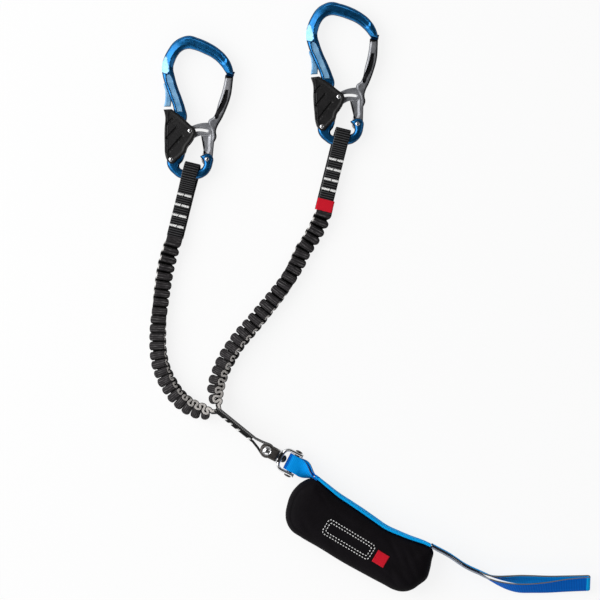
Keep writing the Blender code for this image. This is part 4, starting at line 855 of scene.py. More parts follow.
LEVER_SHARES = (
    (-0.198, 0.448), (-0.142, 0.451), (-0.110, 0.428), (-0.065, 0.392), (-0.012, 0.343),
    (0.015, 0.321), (0.026, 0.289), (0.015, 0.254), (-0.007, 0.218), (-0.034, 0.184),
    (-0.048, 0.146), (-0.074, 0.120), (-0.106, 0.093), (-0.126, 0.074), (-0.154, 0.073),
    (-0.172, 0.093), (-0.186, 0.129), (-0.191, 0.210), (-0.191, 0.317), (-0.186, 0.388),
    (-0.191, 0.424),
)
LEVER_MOUTH_SHARES = ((-0.180, 0.130), (-0.260, 0.100), (-0.260, -0.050), (0.150, -0.050), (0.150, 0.550))
GATE_ARM_SHARES = (
    (0.232, 0.692), (0.287, 0.676), (0.283, 0.636), (0.270, 0.547), (0.243, 0.466),
    (0.203, 0.379), (0.180, 0.339), (0.167, 0.299), (0.170, 0.256), (0.149, 0.210),
    (0.145, 0.175), (0.120, 0.175), (0.134, 0.250), (0.128, 0.310), (0.112, 0.345),
    (0.116, 0.375), (0.149, 0.400), (0.185, 0.502), (0.207, 0.569), (0.225, 0.645),
)
GROOVE_SHARES = (
    (0.2346, 0.587), (0.2107, 0.517), (0.1815, 0.459), (0.160, 0.417), (0.160, 0.395), (0.170, 0.382),
    (0.193, 0.417), (0.219, 0.459), (0.243, 0.517), (0.2544, 0.587),
)
POCKET_SHARES = (
    (0.060, 0.270), (0.126, 0.273), (0.121, 0.215), (0.108, 0.145), (0.087, 0.145), (0.076, 0.205),
)
GRIP_SHARES = (
    ((-0.178, 0.343), (-0.137, 0.382)), ((-0.176, 0.249), (-0.105, 0.325)), ((-0.164, 0.156), (-0.067, 0.263)),
)
LIP_SHARES = ((-0.1765, 0.440), (-0.1730, 0.350), (-0.1765, 0.250), (-0.1760, 0.150))


def scaled(shares, size=LENGTH, across=None):
    return np.array(shares) * (size, across or size)


LATCH_PIN = Vector((-0.014, 0.299)) * LENGTH
LEVER_PIVOT = Vector((-0.146, 0.100)) * LENGTH
GATE_PIVOT = Vector((0.104, 0.102)) * LENGTH


def about_gate(radius, angle):
    return GATE_PIVOT + Vector((-math.sin(angle), math.cos(angle))) * radius


def turned_about(spot, pivot, angle):
    return pivot + Matrix.Rotation(angle, 2) @ (spot - pivot)


def slot_outline(path, radius, end_steps=8):
    outline = []
    for line in (path, path[::-1]):
        for index, spot in enumerate(line):
            before, after = line[max(index - 1, 0)], line[min(index + 1, len(line) - 1)]
            ahead = (after - before).normalized()
            side = Vector((ahead.y, -ahead.x))
            outline.append(spot + side * radius)
            if index == len(line) - 1:
                for step in range(1, end_steps):
                    angle = math.pi * step / end_steps
                    outline.append(spot + (side * math.cos(angle) + ahead * math.sin(angle)) * radius)
    return [tuple(spot) for spot in outline]


def latch_slot():
    path = []
    for step in range(17):
        pin = turned_about(LATCH_PIN, LEVER_PIVOT, -SQUEEZE * step / 16)
        path.append(turned_about(pin, GATE_PIVOT, -OPENING * step / 16))
    return slot_outline(path, PIN_RADIUS + FIT)


def web_outline():
    pin = LATCH_PIN - GATE_PIVOT
    end = math.atan2(-pin.x, pin.y) + math.radians(6.5)
    outline = [about_gate(0.0051, math.radians(angle)) for angle in range(-75, -286, -10)]
    outline += [about_gate(0.0051 * 1.7, math.radians(21))]
    start = math.radians(14)
    outline += [about_gate(TAIL_INNER, start + (end - start) * step / 14) for step in range(15)]
    top = math.radians(-13)
    outline += [about_gate(TAIL_OUTER, end + (top - end) * step / 24) for step in range(25)]
    outline.append(about_gate(TAIL_INNER, math.radians(-18)))
    return [tuple(spot) for spot in outline]


def spine_slot():
    pin = LATCH_PIN - GATE_PIVOT
    low, high = math.radians(9), math.atan2(-pin.x, pin.y) + math.radians(6.5 + 2.5) + OPENING
    angles = [low + (high - low) * step / 12 for step in range(13)]
    spots = [about_gate(TAIL_INNER - FIT * 3, angle) for angle in angles]
    spots += [about_gate(TAIL_OUTER + FIT * 3, angle) for angle in angles[::-1]]
    return [tuple(spot) for spot in spots]


def smoothstep(low, high, value):
    share = np.clip((value - low) / (high - low), 0, 1)
    return share * share * (3 - 2 * share)


def rounded(distance, height, radius):
    """A height that rolls over to the rim in a quarter circle."""
    inward = radius - np.minimum(distance, radius)
    return height - radius + np.sqrt(np.maximum(radius ** 2 - inward ** 2, 0))


def from_path(x, y, path):
    """Each point's distance from an open path."""
    best = np.full(len(x), 1e9)
    for first, last in zip(path, path[1:]):
        along = last - first
        share = np.clip(((x - first[0]) * along[0] + (y - first[1]) * along[1]) / (along @ along), 0, 1)
        best = np.minimum(best, np.hypot(x - first[0] - share * along[0], y - first[1] - share * along[1]))
    return best


def smooth_path(shares):
    line, reach = smooth_route([(*spot, 0) for spot in scaled(shares)], 6)
    return np.array([(spot.x, spot.y) for spot in line])


def repaint(piece, place, material, chosen):
    """Gives a second material to the faces that chosen picks by their local place and normal."""
    piece.data.materials.append(material)
    back = place.inverted()
    turn = back.to_3x3()
    faces = list(piece.data.polygons)
    spots = np.array([tuple(back @ face.center) for face in faces])
    normals = np.array([tuple(turn @ face.normal) for face in faces])
    for face, wanted in zip(faces, chosen(spots[:, 0], spots[:, 1], spots[:, 2], normals)):
        if wanted:
            face.material_index = len(piece.data.materials) - 1


def carabiner_body(side, place):
    outline = spline_outline(scaled(BODY_SHARES), (0, 29, 55))
    panel = spline_outline(scaled(SPINE_PANEL_SHARES), (0, 5, 6, 10), 5)
    flank = scaled(FLANK_SHARES)
    ridge = scaled(FLANK_SHARES[:4])
    fuller = smooth_path(FULLER_SHARES)
    inner_rim = smooth_path(BODY_SHARES[46:])

    def height(x, y, d):
        z = rounded(d, BODY_HALF, BODY_ROUND)
        z = z - 0.0012 * smoothstep(-0.0001, 0.0006, signed_distance(x, y, panel))
        leaf = signed_distance(x, y, flank)
        lowest = BODY_HALF - 0.46 * from_path(x, y, ridge)
        z = np.where(leaf > 0, np.minimum(z, lowest + 0.003 * (1 - smoothstep(0.0, 0.0010, leaf))), z)
        z = np.minimum(z, BODY_HALF - 0.44 * (CHAMFER - from_path(x, y, inner_rim)))
        lit = (1 - smoothstep(-0.012, 0.001, x)) * smoothstep(0.088, 0.104, y)
        z = z - 0.0006 * (1 - smoothstep(0.0022, 0.0031, from_path(x, y, fuller))) * (1 - lit)
        return z - 0.21 * lit * np.maximum(from_path(x, y, inner_rim) - CHAMFER, 0)

    creases = ridge_lines(panel, (-0.0001, 0.0003, 0.0006), 0.0007) + ridge_lines(flank, (0.0, 0.0005, 0.0010), 0.0007)
    creases += run_lines(fuller, (-0.0031, -0.0027, -0.0022, 0.0022, 0.0027, 0.0031), 0.0007)
    creases += run_lines(inner_rim, (-CHAMFER, CHAMFER), 0.0007)
    cage = relief(outline, height, step=0.0007, depth=0.0030, grid=0.0011, creases=creases)
    half = WEB_HALF + FIT
    cut = [prism(spine_slot(), -half, half, place)]
    for spot, radius, reach in (
        (GATE_PIVOT, 0.0074, half), (GATE_PIVOT, PIN_RADIUS + FIT, 0.01), (LEVER_PIVOT, PIN_RADIUS + FIT, 0.01),
    ):
        ring = [(spot.x + radius * math.cos(math.tau * n / 32), spot.y + radius * math.sin(math.tau * n / 32))
                for n in range(32)]
        cut.append(prism(ring, -reach, reach, place))
    body = placed(cage, f"body_{side}", place, BLUE_METAL, f"carabiner_{side}", (f"carabiner_body_{side}",),
                  cut=cut, slot="anodised_blue")
    # Painted shade: the steep faces take the darker copy of the blue metal.
    repaint(body, place, BLUE_SHADE, lambda x, y, z, n: abs(n[:, 2]) < 0.66)
    # The spine panel's floor: a lighter brushed finish, brightened further by painted light.
    repaint(body, place, BLUE_PANEL_LIT, lambda x, y, z, n: (abs(n[:, 2]) > 0.8) & (signed_distance(x, y, panel) > 0.0006))
    # Painted highlight on the left flank's facet.
    repaint(body, place, BLUE_HIGHLIGHT, lambda x, y, z, n: (abs(n[:, 2]) > 0.8) & (signed_distance(x, y, flank) > 0.0005))
    fin = relief(spline_outline(scaled(FIN_SHARES), (3, 4)), lambda x, y, d: rounded(d, 0.0014, 0.0009),
                 step=0.0005, depth=0.0012, grid=0.0009)
    # Painted highlight: the fin takes the lighter brushed blue.
    placed(fin, f"fin_{side}", place, BLUE_PANEL_LIT, f"carabiner_{side}", (), slot="anodised_blue")
    ends = [Vector(scaled(BODY_SHARES[index])) for index in (0, -1)]
    middle = (ends[0] + ends[1]) / 2
    across = (ends[0] - ends[1]) * 0.46
    down = Vector((across.y, -across.x)).normalized() * 0.0036
    corners = (middle - across - down, middle - across + down, middle + across + down, middle + across - down)
    key = relief([tuple(spot) for spot in corners[::-1]], lambda x, y, d: rounded(d, 0.0016, 0.0006),
                 step=0.0005, depth=0.001, grid=0.001)
    # Painted shade: the nose key, in the notch between nose and gate, takes the darker copy.
    placed(key, f"nose_key_{side}", place, BLUE_SHADE, f"carabiner_{side}", (), slot="anodised_blue")
    return body


def carabiner_gate(side, place):
    groove = spline_outline(scaled(GROOVE_SHARES), (0, 9), 4)
    pocket = spline_outline(scaled(POCKET_SHARES), (0, 1), 4)
    arm_outline = spline_outline(scaled(GATE_ARM_SHARES), (0, 1, 10, 11))

    def arm_height(x, y, d):
        low = 0.0016 * (1 - smoothstep(0.037, 0.054, y))
        return rounded(d, GATE_HALF, 0.0021) - low - 0.0019 * smoothstep(-0.0001, 0.0008, signed_distance(x, y, groove))

    def web_height(x, y, d):
        z = rounded(d, WEB_HALF, 0.0006)
        away = signed_distance(x, y, pocket)
        return z - 0.0009 * smoothstep(-0.0006, 0.0012, away)

    arm = relief(arm_outline, arm_height, step=0.0005, depth=0.0023, grid=0.0008,
                 creases=ridge_lines(groove, (-0.0001, 0.0004, 0.0008), 0.0005))
    web = relief(web_outline(), web_height, [latch_slot()], step=0.0005, depth=0.0012, grid=0.0007,
                 creases=ridge_lines(pocket, (-0.0006, -0.0001, 0.0004, 0.0012), 0.0005))
    arm.transform(place)
    web.transform(place)
    meshes = []
    for cage in (arm, web):
        mesh = bpy.data.meshes.new("gate")
        cage.to_mesh(mesh)
        cage.free()
        meshes.append(mesh)
    joined = carved(meshes[0], [meshes[1]], "UNION")
    top = (Vector(scaled(GATE_ARM_SHARES[0])) + Vector(scaled(GATE_ARM_SHARES[1]))) / 2
    half = 0.0016 + FIT
    width = LENGTH / 10
    low = top.y - 0.0036 - FIT * 4
    notch = ((top.x - width, low), (top.x + width, low), (top.x + width, top.y + width), (top.x - width, top.y + width))
    radius = PIN_RADIUS + FIT
    ring = [(GATE_PIVOT.x + radius * math.cos(math.tau * n / 32), GATE_PIVOT.y + radius * math.sin(math.tau * n / 32))
            for n in range(32)]
    mesh = carved(joined, [prism(notch, -half, half, place), prism(ring, -0.01, 0.01, place)])
    mesh.name = f"gate_{side}"
    soften(mesh, 38)
    gate = keep(f"gate_{side}", mesh, GREY_METAL, f"gate_{side}", (f"carabiner_gate_{side}",), "forged_grey")
    # Painted shade: the groove, the right flank, the top end and the pocket's left wall take the near-black metal.
    repaint(gate, place, METAL_SHADE, lambda x, y, z, n: (
        (signed_distance(x, y, groove) > 0.0004) & (abs(z) < GATE_HALF)
        | (n[:, 0] > 0.35) & (abs(n[:, 2]) < 0.90) & (x > GATE_FLANK)
        | (y > top.y - 0.0022)
        | (n[:, 0] > 0.12) & (abs(signed_distance(x, y, pocket) - 0.0003) < 0.0009) & (abs(n[:, 2]) > 0.5)))
    return gate


def palm_lever(side, place):
    grips = [scaled(line) for line in GRIP_SHARES]
    lip = scaled(LIP_SHARES)

    def height(x, y, d):
        z = rounded(d, LEVER_HALF, 0.0017)
        for grip in grips:
            z = z - 0.0012 * (1 - smoothstep(0.0002, 0.0013, from_path(x, y, grip)))
        z = z - 0.0008 * (1 - smoothstep(0.0002, 0.0009, from_path(x, y, lip)))
        return z - 0.0004 * smoothstep(0.0022, 0.0034, d)

    creases = run_lines(lip, (-0.0009, -0.0004, 0.0, 0.0004, 0.0009), 0.0006)
    for grip in grips:
        creases += run_lines(grip, (-0.0013, -0.0006, 0.0, 0.0006, 0.0013), 0.0006)
    cage = relief(spline_outline(scaled(LEVER_SHARES), (0, 1)), height, step=0.0005, depth=0.0023, grid=0.0007,
                  creases=creases)
    outline = scaled(LEVER_SHARES)
    wall = [(spot[0] + LEVER_WALL, spot[1]) for spot in list(outline[17:]) + [outline[0]]]
    wall[-1] = (wall[-1][0], wall[-1][1] + 0.01)
    mouth = [tuple(spot) for spot in scaled(LEVER_MOUTH_SHARES)]
    hollow = mouth[:1] + wall + mouth[4:] + mouth[3:0:-1]
    inner = LEVER_HALF - LEVER_CHEEK
    cut = [prism(hollow, -inner, inner, place)]
    radius = PIN_RADIUS + FIT
    for spot in (LATCH_PIN, LEVER_PIVOT):
        ring = [(spot.x + radius * math.cos(math.tau * n / 32), spot.y + radius * math.sin(math.tau * n / 32))
                for n in range(32)]
        cut.append(prism(ring, -0.01, 0.01, place))
    return placed(cage, f"lever_{side}", place, PLASTIC, f"lever_{side}", (f"palm_lever_{side}",), cut=cut,
                  slot="moulded_black")


def dome_profile(reach, radius, head_radius, head, steps=7):
    """A rivet with a domed head at each end."""
    top = [(0.0, reach + head)]
    for step in range(1, steps + 1):
        angle = math.pi / 2 * step / steps
        top.append((head_radius * math.sin(angle), reach + head * (0.12 + 0.88 * math.cos(angle))))
    top += [(head_radius, reach), (radius, reach)]
    return top + [(r, -z) for r, z in top[::-1]]


def carabiner(side, bar, turn):
    place = Matrix.Translation((bar[0], bar[1], LIFT)) @ Matrix.Rotation(turn, 4, "Z")
    carabiner_body(side, place)
    carabiner_gate(side, place)
    palm_lever(side, place)
    for name, rider, spot, reach in (
        ("latch_pin", "lever", LATCH_PIN, LEVER_HALF + FIT / 2),
        ("lever_rivet", "carabiner", LEVER_PIVOT, LEVER_HALF + FIT / 2),
        ("gate_rivet", "carabiner", GATE_PIVOT, BODY_HALF + FIT / 2),
    ):
        turned(f"{name}_dome_{side}", dome_profile(reach, PIN_RADIUS, 0.0019, 0.0007),
               place @ Matrix.Translation((*spot, 0)), BRIGHT_STEEL, f"{rider}_{side}", (f"{name}_{side}",),
               slot="polished_steel")
    for name in ("gate_spring", "lever_spring"):
        NODES[f"{name}_{side}"].data.materials.clear()
        NODES[f"{name}_{side}"].data.materials.append(WIRE)
    return place


# Webbing
UP = Vector((0, 0, 1))
SLEEVE_WIDTH = 0.0134
SLEEVE_THICKNESS = 0.0019
SLEEVE_SLIT = 0.0005
SLEEVE_TURN = math.radians(-14)
RIB_PITCH = 0.0021


def sleeve_path(length):
    layer = (SLEEVE_SLIT + SLEEVE_THICKNESS) / 2
    eye_height = 0.0064 + SLEEVE_THICKNESS / 2
    eye_length = 0.0086 + SLEEVE_THICKNESS / 2
    neck = 0.0168
    front = [Vector((0, -length, layer)), Vector((0, -neck, layer))]
    for step in range(1, 16):
        share = step / 16
        front.append(Vector((0, -neck * (1 - share), layer + (eye_height - layer) * ease(share * 1.06))))
    wrap = []
    for step in range(41):
        angle = math.pi * step / 40
        rise = eye_height * abs(math.cos(angle)) ** (2 / 3)
        reach = eye_length * math.sin(angle) ** (2 / 3)
        wrap.append(Vector((0, reach, math.copysign(rise, math.cos(angle)))))
    return front + wrap + [Vector((0, spot.y, -spot.z)) for spot in front[::-1]]


def thread_run(name, strands, radius, material, body, stands_for=(), slot=None):
    """Lengths of sewing thread as one mesh; a strand is a list of points."""
    cage = bmesh.new()
    for strand in strands:
        rings = []
        for index, spot in enumerate(strand):
            ahead = (strand[min(index + 1, len(strand) - 1)] - strand[max(index - 1, 0)]).normalized()
            side = ahead.cross(UP)
            side = side.normalized() if side.length > 1e-3 else Vector((1, 0, 0))
            lift = side.cross(ahead)
            thick = radius * (0.45 if index in (0, len(strand) - 1) else 1.0)
            rings.append([cage.verts.new(spot + (side * math.cos(math.tau * n / 6)
                                                 + lift * math.sin(math.tau * n / 6)) * thick) for n in range(6)])
        for first, second in zip(rings, rings[1:]):
            for n in range(6):
                m = (n + 1) % 6
                cage.faces.new((first[n], first[m], second[m], second[n]))
        cage.faces.new(rings[0][::-1])
        cage.faces.new(rings[-1])
    bmesh.ops.recalc_face_normals(cage, faces=cage.faces)
    mesh = bpy.data.meshes.new(name)
    cage.to_mesh(mesh)
    cage.free()
    soften(mesh, 70)
    return keep(name, mesh, material, body, stands_for, slot)


def bar_tack(name, place, half_width, length, body, stands_for, pitch=0.00042, gap=True, radius=0.00027):
    """A bar tack: threads side by side, slanted a little, with a break and a loose end or two."""
    strands = []
    count = int(half_width * 2 / pitch)
    broken = rng.uniform(0.42, 0.6)
    for index in range(count):
        share = index / max(count - 1, 1)
        if gap and abs(share - broken) < 0.035:
            continue
        x = -half_width + half_width * 2 * share
        reach = length / 2 * rng.uniform(0.86, 1.06)
        slant = pitch * rng.uniform(0.5, 1.1)
        lift = rng.uniform(0, 0.00008)
        strands.append([place @ Vector((x - slant, -reach, -0.00012)), place @ Vector((x - slant * 0.6, -reach * 0.7, 0.00018 + lift)),
                        place @ Vector((x, 0, 0.00026 + lift)), place @ Vector((x + slant * 0.6, reach * 0.7, 0.00018 + lift)),
                        place @ Vector((x + slant, reach, -0.00012))])
    for end in (1, -1) if gap else (1,):
        x = half_width * end * 0.98
        strands.append([place @ Vector((x + end * 0.0002 * step, (0.2 - 0.16 * step) * length * end,
                                        0.0003 - 0.00003 * step * step)) for step in range(5)])
    return thread_run(name, strands, radius, WHITE, body, stands_for, "white_thread")


def sleeve(side, bar, turn, length, tacks):
    offset = Matrix.Rotation(turn, 2) @ Vector((-0.0022, 0))
    place = Matrix.Translation((bar[0] + offset.x, bar[1] + offset.y, LIFT)) @ Matrix.Rotation(SLEEVE_TURN, 4, "Z")
    across = (place.to_3x3() @ Vector((1, 0, 0))).normalized()
    path = [place @ spot for spot in sleeve_path(length)]
    body = f"sleeve_{side}_group"
    lean = 0.0017 if side == "left" else -0.0014

    def shape(distance, share, mark):
        rib = math.cos(math.tau * distance / RIB_PITCH)
        return 1.0 + 0.008 * rib, 1.0 + 0.085 * rib, lean * ease((share - 0.44) / 0.16)

    band(f"sleeve_tape_{side}", path, [across] * len(path), SLEEVE_WIDTH, SLEEVE_THICKNESS,
         (RIBBED_BLACK, PALE_EDGE, PALE_EDGE), body, (f"sleeve_{side}",), step=0.00035, shape=shape,
         slot="webbing_black")
    face = SLEEVE_SLIT / 2 + SLEEVE_THICKNESS + 0.00012
    for index, spot in enumerate(tacks):
        bar_tack(f"sleeve_stitches_{side}_{index + 1}", place @ Matrix.Translation((0, -spot, face)),
                 SLEEVE_WIDTH / 2 - 0.0006, 0.0021, body, (f"sleeve_tack_{side}_{index + 1}",))
    return place


def label(place):
    """The bare woven label folded round the right sleeve's end."""
    half_x, half_z = SLEEVE_WIDTH / 2 + FIT + 0.00035, SLEEVE_SLIT / 2 + SLEEVE_THICKNESS + FIT + 0.00035
    path, ring = [], []
    round_off = 0.0009
    for cx, cz, start in ((1, 1, 0), (-1, 1, 90), (-1, -1, 180), (1, -1, 270)):
        for step in range(7):
            angle = math.radians(start + 15 * step)
            ring.append((cx * (half_x - round_off) + round_off * math.cos(angle),
                         cz * (half_z - round_off) + round_off * math.sin(angle)))
    ring.append(ring[0])
    for x, z in ring:
        path.append(place @ Vector((x, -0.0657 + 0.00525, z)))
    along = (place.to_3x3() @ Vector((0, 1, 0))).normalized()
    band("woven_end_label", path, [along] * len(path), 0.0105, 0.0007, (LABEL, LABEL, LABEL),
         "sleeve_right_group", ("sleeve_label",), step=0.0004, slot="label_red")


ARM_WIDTH = 0.0140
ARM_THICKNESS = 0.0030
PLEAT_PITCH = 0.0080
PLEAT_DEPTH = 0.0075
ARM_SETTLING = 0.0300
LEFT_ARM_ROUTE = (
    (-0.0845, 0.1883), (-0.0855, 0.1843), (-0.0882, 0.1755), (-0.0908, 0.1660), (-0.0926, 0.1570),
    (-0.0939, 0.1482), (-0.0950, 0.1401), (-0.0959, 0.1320), (-0.0968, 0.1221), (-0.0974, 0.1122),
    (-0.0977, 0.1023), (-0.0976, 0.0924), (-0.0965, 0.0825), (-0.0940, 0.0726), (-0.0897, 0.0627),
    (-0.0843, 0.0537), (-0.0776, 0.0456), (-0.0695, 0.0395), (-0.0609, 0.0357), (-0.0540, 0.0344),
    (-0.0492, 0.0346),
)
RIGHT_ARM_ROUTE = (
    (0.0502, 0.2140), (0.0492, 0.2100), (0.0463, 0.2030), (0.0423, 0.1955), (0.0376, 0.1875),
    (0.0321, 0.1795), (0.0284, 0.1715), (0.0247, 0.1640), (0.0206, 0.1565), (0.0163, 0.1495),
    (0.0114, 0.1425), (0.0063, 0.1360), (0.0011, 0.1295), (-0.0047, 0.1225), (-0.0108, 0.1150),
    (-0.0173, 0.1075), (-0.0236, 0.1003), (-0.0286, 0.0935), (-0.0333, 0.0865), (-0.0374, 0.0790),
    (-0.0410, 0.0715), (-0.0439, 0.0635), (-0.0457, 0.0555), (-0.0459, 0.0480), (-0.0439, 0.0407),
)
ARMS = {
    "left": (LEFT_ARM_ROUTE, (0.0, 0.08, 0.30, 0.50, 0.78, 0.93, 1.0), (0, 6, 0, -14, -38, -54, -84)),
    "right": (RIGHT_ARM_ROUTE, (0.0, 0.06, 0.18, 0.45, 0.72, 0.90, 1.0), (0, 5, 0, -16, -37, -54, -84)),
}


def between(share, shares, values):
    """A value read from a table of shares, with an even start and stop at each of them."""
    for low, high, first, second in zip(shares, shares[1:], values, values[1:]):
        if share <= high:
            return first + (second - first) * ease((share - low) / (high - low))
    return values[-1]


def elastic_arm(side):
    """The pleated band, and the route and length of the cord that it makes."""
    route, shares, degrees = ARMS[side]
    line, reach = smooth_route([(*spot, 0) for spot in route])
    length = reach[-1]
    pleats = round(length / PLEAT_PITCH)
    halves = pleats * 2
    tall = [rng.uniform(0.93, 1.04) for _ in range(halves + 2)]
    drift = [rng.uniform(-0.045, 0.045) for _ in range(halves + 2)]
    points, sides, marks, centre = [], [], [], []
    per = 30
    for index in range(pleats * per + 1):
        turn = index / per
        share = index / (pleats * per)
        half = min(int(turn * 2), halves)
        blend = ease(turn * 2 - half)
        height = tall[half] + (tall[half + 1] - tall[half]) * blend
        wander = drift[half] + (drift[half + 1] - drift[half]) * blend
        spot, ahead = along_route(line, reach, length * share)
        twist = math.radians(between(share, shares, degrees))
        across, depth = turn_frame(ahead, twist)
        resting = ARM_WIDTH / 2 * abs(math.sin(twist)) + FIT
        resting += (PLEAT_DEPTH + ARM_THICKNESS) / 2 * abs(math.cos(twist))
        laid = LIFT + (resting - LIFT) * ease(length * share / ARM_SETTLING)
        spot.z = SWIVEL_LIFT + (laid - SWIVEL_LIFT) * ease(length * (1 - share) / ARM_SETTLING)
        near = ease(min(length * share, length * (1 - share)) / 0.0035)
        phase = math.tau * turn
        centre.append(tuple(spot))
        points.append(spot + depth * PLEAT_DEPTH / 2 * near * height * math.sin(phase)
                      + ahead * (wander * PLEAT_PITCH - 0.0013 * share * math.sin(2 * phase)) * near)
        sides.append((across + (depth + ahead) * wander * 0.6 * near).normalized())
        marks.append(math.sin(phase) * near + (1 - near))
    first, last = (points[1] - points[0]).normalized(), (points[-1] - points[-2]).normalized()
    points = [points[0] - first * 0.0045] + points + [points[-1] + last * 0.0040]
    sides = sides[:1] + sides + sides[-1:]
    marks = marks[:1] + marks + marks[-1:]

    def shape(distance, share, mark):
        rib = math.cos(math.tau * distance / 0.0011)
        skew = 0.0011 * mark * (1 - ease((share - 0.22) / 0.22))
        return 0.95 + 0.06 * mark + 0.006 * rib, 1.0 + 0.2 * ease(share) + 0.03 * rib, -skew

    piece = band(f"elastic_band_{side}", points, sides, ARM_WIDTH, ARM_THICKNESS, (KNIT, KNIT, CORE), None,
                 (f"elastic_arm_{side}",), step=0.0004, shape=shape, slot="elastic_band", marks=marks)
    return piece, centre[::per // 3], length


def stem():
    place = Matrix.Translation((0, 0, SWIVEL_LIFT)) @ Matrix.Rotation(math.radians(-39), 4, "Z")
    half_core, strap = 0.0007, 0.0016
    leg = half_core + FIT + strap / 2
    wrap = 0.0046 + FIT + strap / 2
    side = [Vector((-0.0592, -leg, 0)), Vector((-0.0150, -leg, 0))]
    start = math.radians(75)
    arc = []
    for step in range(41):
        angle = start + (math.tau - 2 * start) * step / 40
        arc.append(Vector((-wrap * math.cos(angle), -wrap * math.sin(angle), 0)))
    first = arc[0]
    flare = [side[1].lerp(first, 0.5) + Vector((0, 0.0004, 0))]
    path = side + flare + arc
    path += [Vector((spot.x, -spot.y, 0)) for spot in (side + flare)[::-1]]
    path = [place @ spot for spot in path]

    tacks = (0.0470, 0.0406, 0.0320, 0.0195)

    def shape(distance, share, mark):
        rib = math.cos(math.tau * distance / 0.0017)
        pinch = sum(math.exp(-((0.0592 - distance - spot) / 0.0010) ** 2) for spot in tacks)
        return 1.0 + 0.004 * rib, 1.0 + 0.06 * rib - 0.55 * pinch, 0.0

    tape = band("stem_tape", path, [UP] * len(path), 0.0150, strap, (STEM_FACE, STEM_DARK, STEM_DARK), "stem",
                ("stem_loop",), step=0.0004, shape=shape, slot="webbing_black")
    repaint(tape, place, STEM_LIGHT, lambda x, y, z, n: (y > 0) & (abs(n[:, 2]) > 0.4))
    core = [place @ Vector((-0.0592 + (0.0592 - 0.0170) * step / 10, 0, 0)) for step in range(11)]
    band("stem_core_tape", core, [UP] * len(core), 0.0148, half_core * 2, (STEM_FACE, STEM_DARK, STEM_DARK),
         "stem", ("stem_core",), step=0.0005, slot="webbing_black")
    over = []
    for spot in tacks:
        for number in (-2, -1, 0, 1, 2):
            over.append([place @ Vector((0.00046 * number - spot + 0.0001 * y, -leg + 0.0001 * y, 0.0075 + rise / 10000))
                         for y, rise in ((-11, -5), (-8, 3), (0, 4), (8, 3), (11, -5))])
    thread_run("stem_edge_stitches", over, 0.00034, WHITE, "stem", slot="white_thread")
    face = leg + strap * 0.30
    turn = Matrix(((0, 1, 0, 0), (0, 0, -1, 0), (-1, 0, 0, 0), (0, 0, 0, 1)))
    for index, spot in enumerate(tacks):
        bar_tack(f"stem_stitches_{index + 1}", place @ Matrix.Translation((-spot, -face, 0)) @ turn, 0.0072, 0.0021,
                 "stem", (f"stem_tack_{index + 1}",), pitch=0.0006, gap=False, radius=0.00042)


# Swivel and shackle
SWIVEL_LIFT = 0.01155
SWIVEL_TURN = math.radians(-27)
FLANGE_START = 0.0046 + FIT + 0.0020 + FIT
BRIDGE_START = FLANGE_START + 0.0008 + FIT
BRIDGE_END = BRIDGE_START + 0.0026
COLLAR_START = BRIDGE_END + FIT
CROWN_START = COLLAR_START + 0.0010 + FIT
CROWN_END = CROWN_START + 0.0030
SLOT_HALF = 0.0075 + FIT * 1.5
HEAD_HALF = SLOT_HALF + 0.0023
PIN_REACH = 0.0264


def block(low, high, place):
    return prism(((low[0], low[1]), (high[0], low[1]), (high[0], high[1]), (low[0], high[1])), low[2], high[2], place)


def rod(radius, half_length, place, sides=40):
    ring = [(radius * math.cos(math.tau * n / sides), radius * math.sin(math.tau * n / sides)) for n in range(sides)]
    return prism(ring, -half_length, half_length, place)


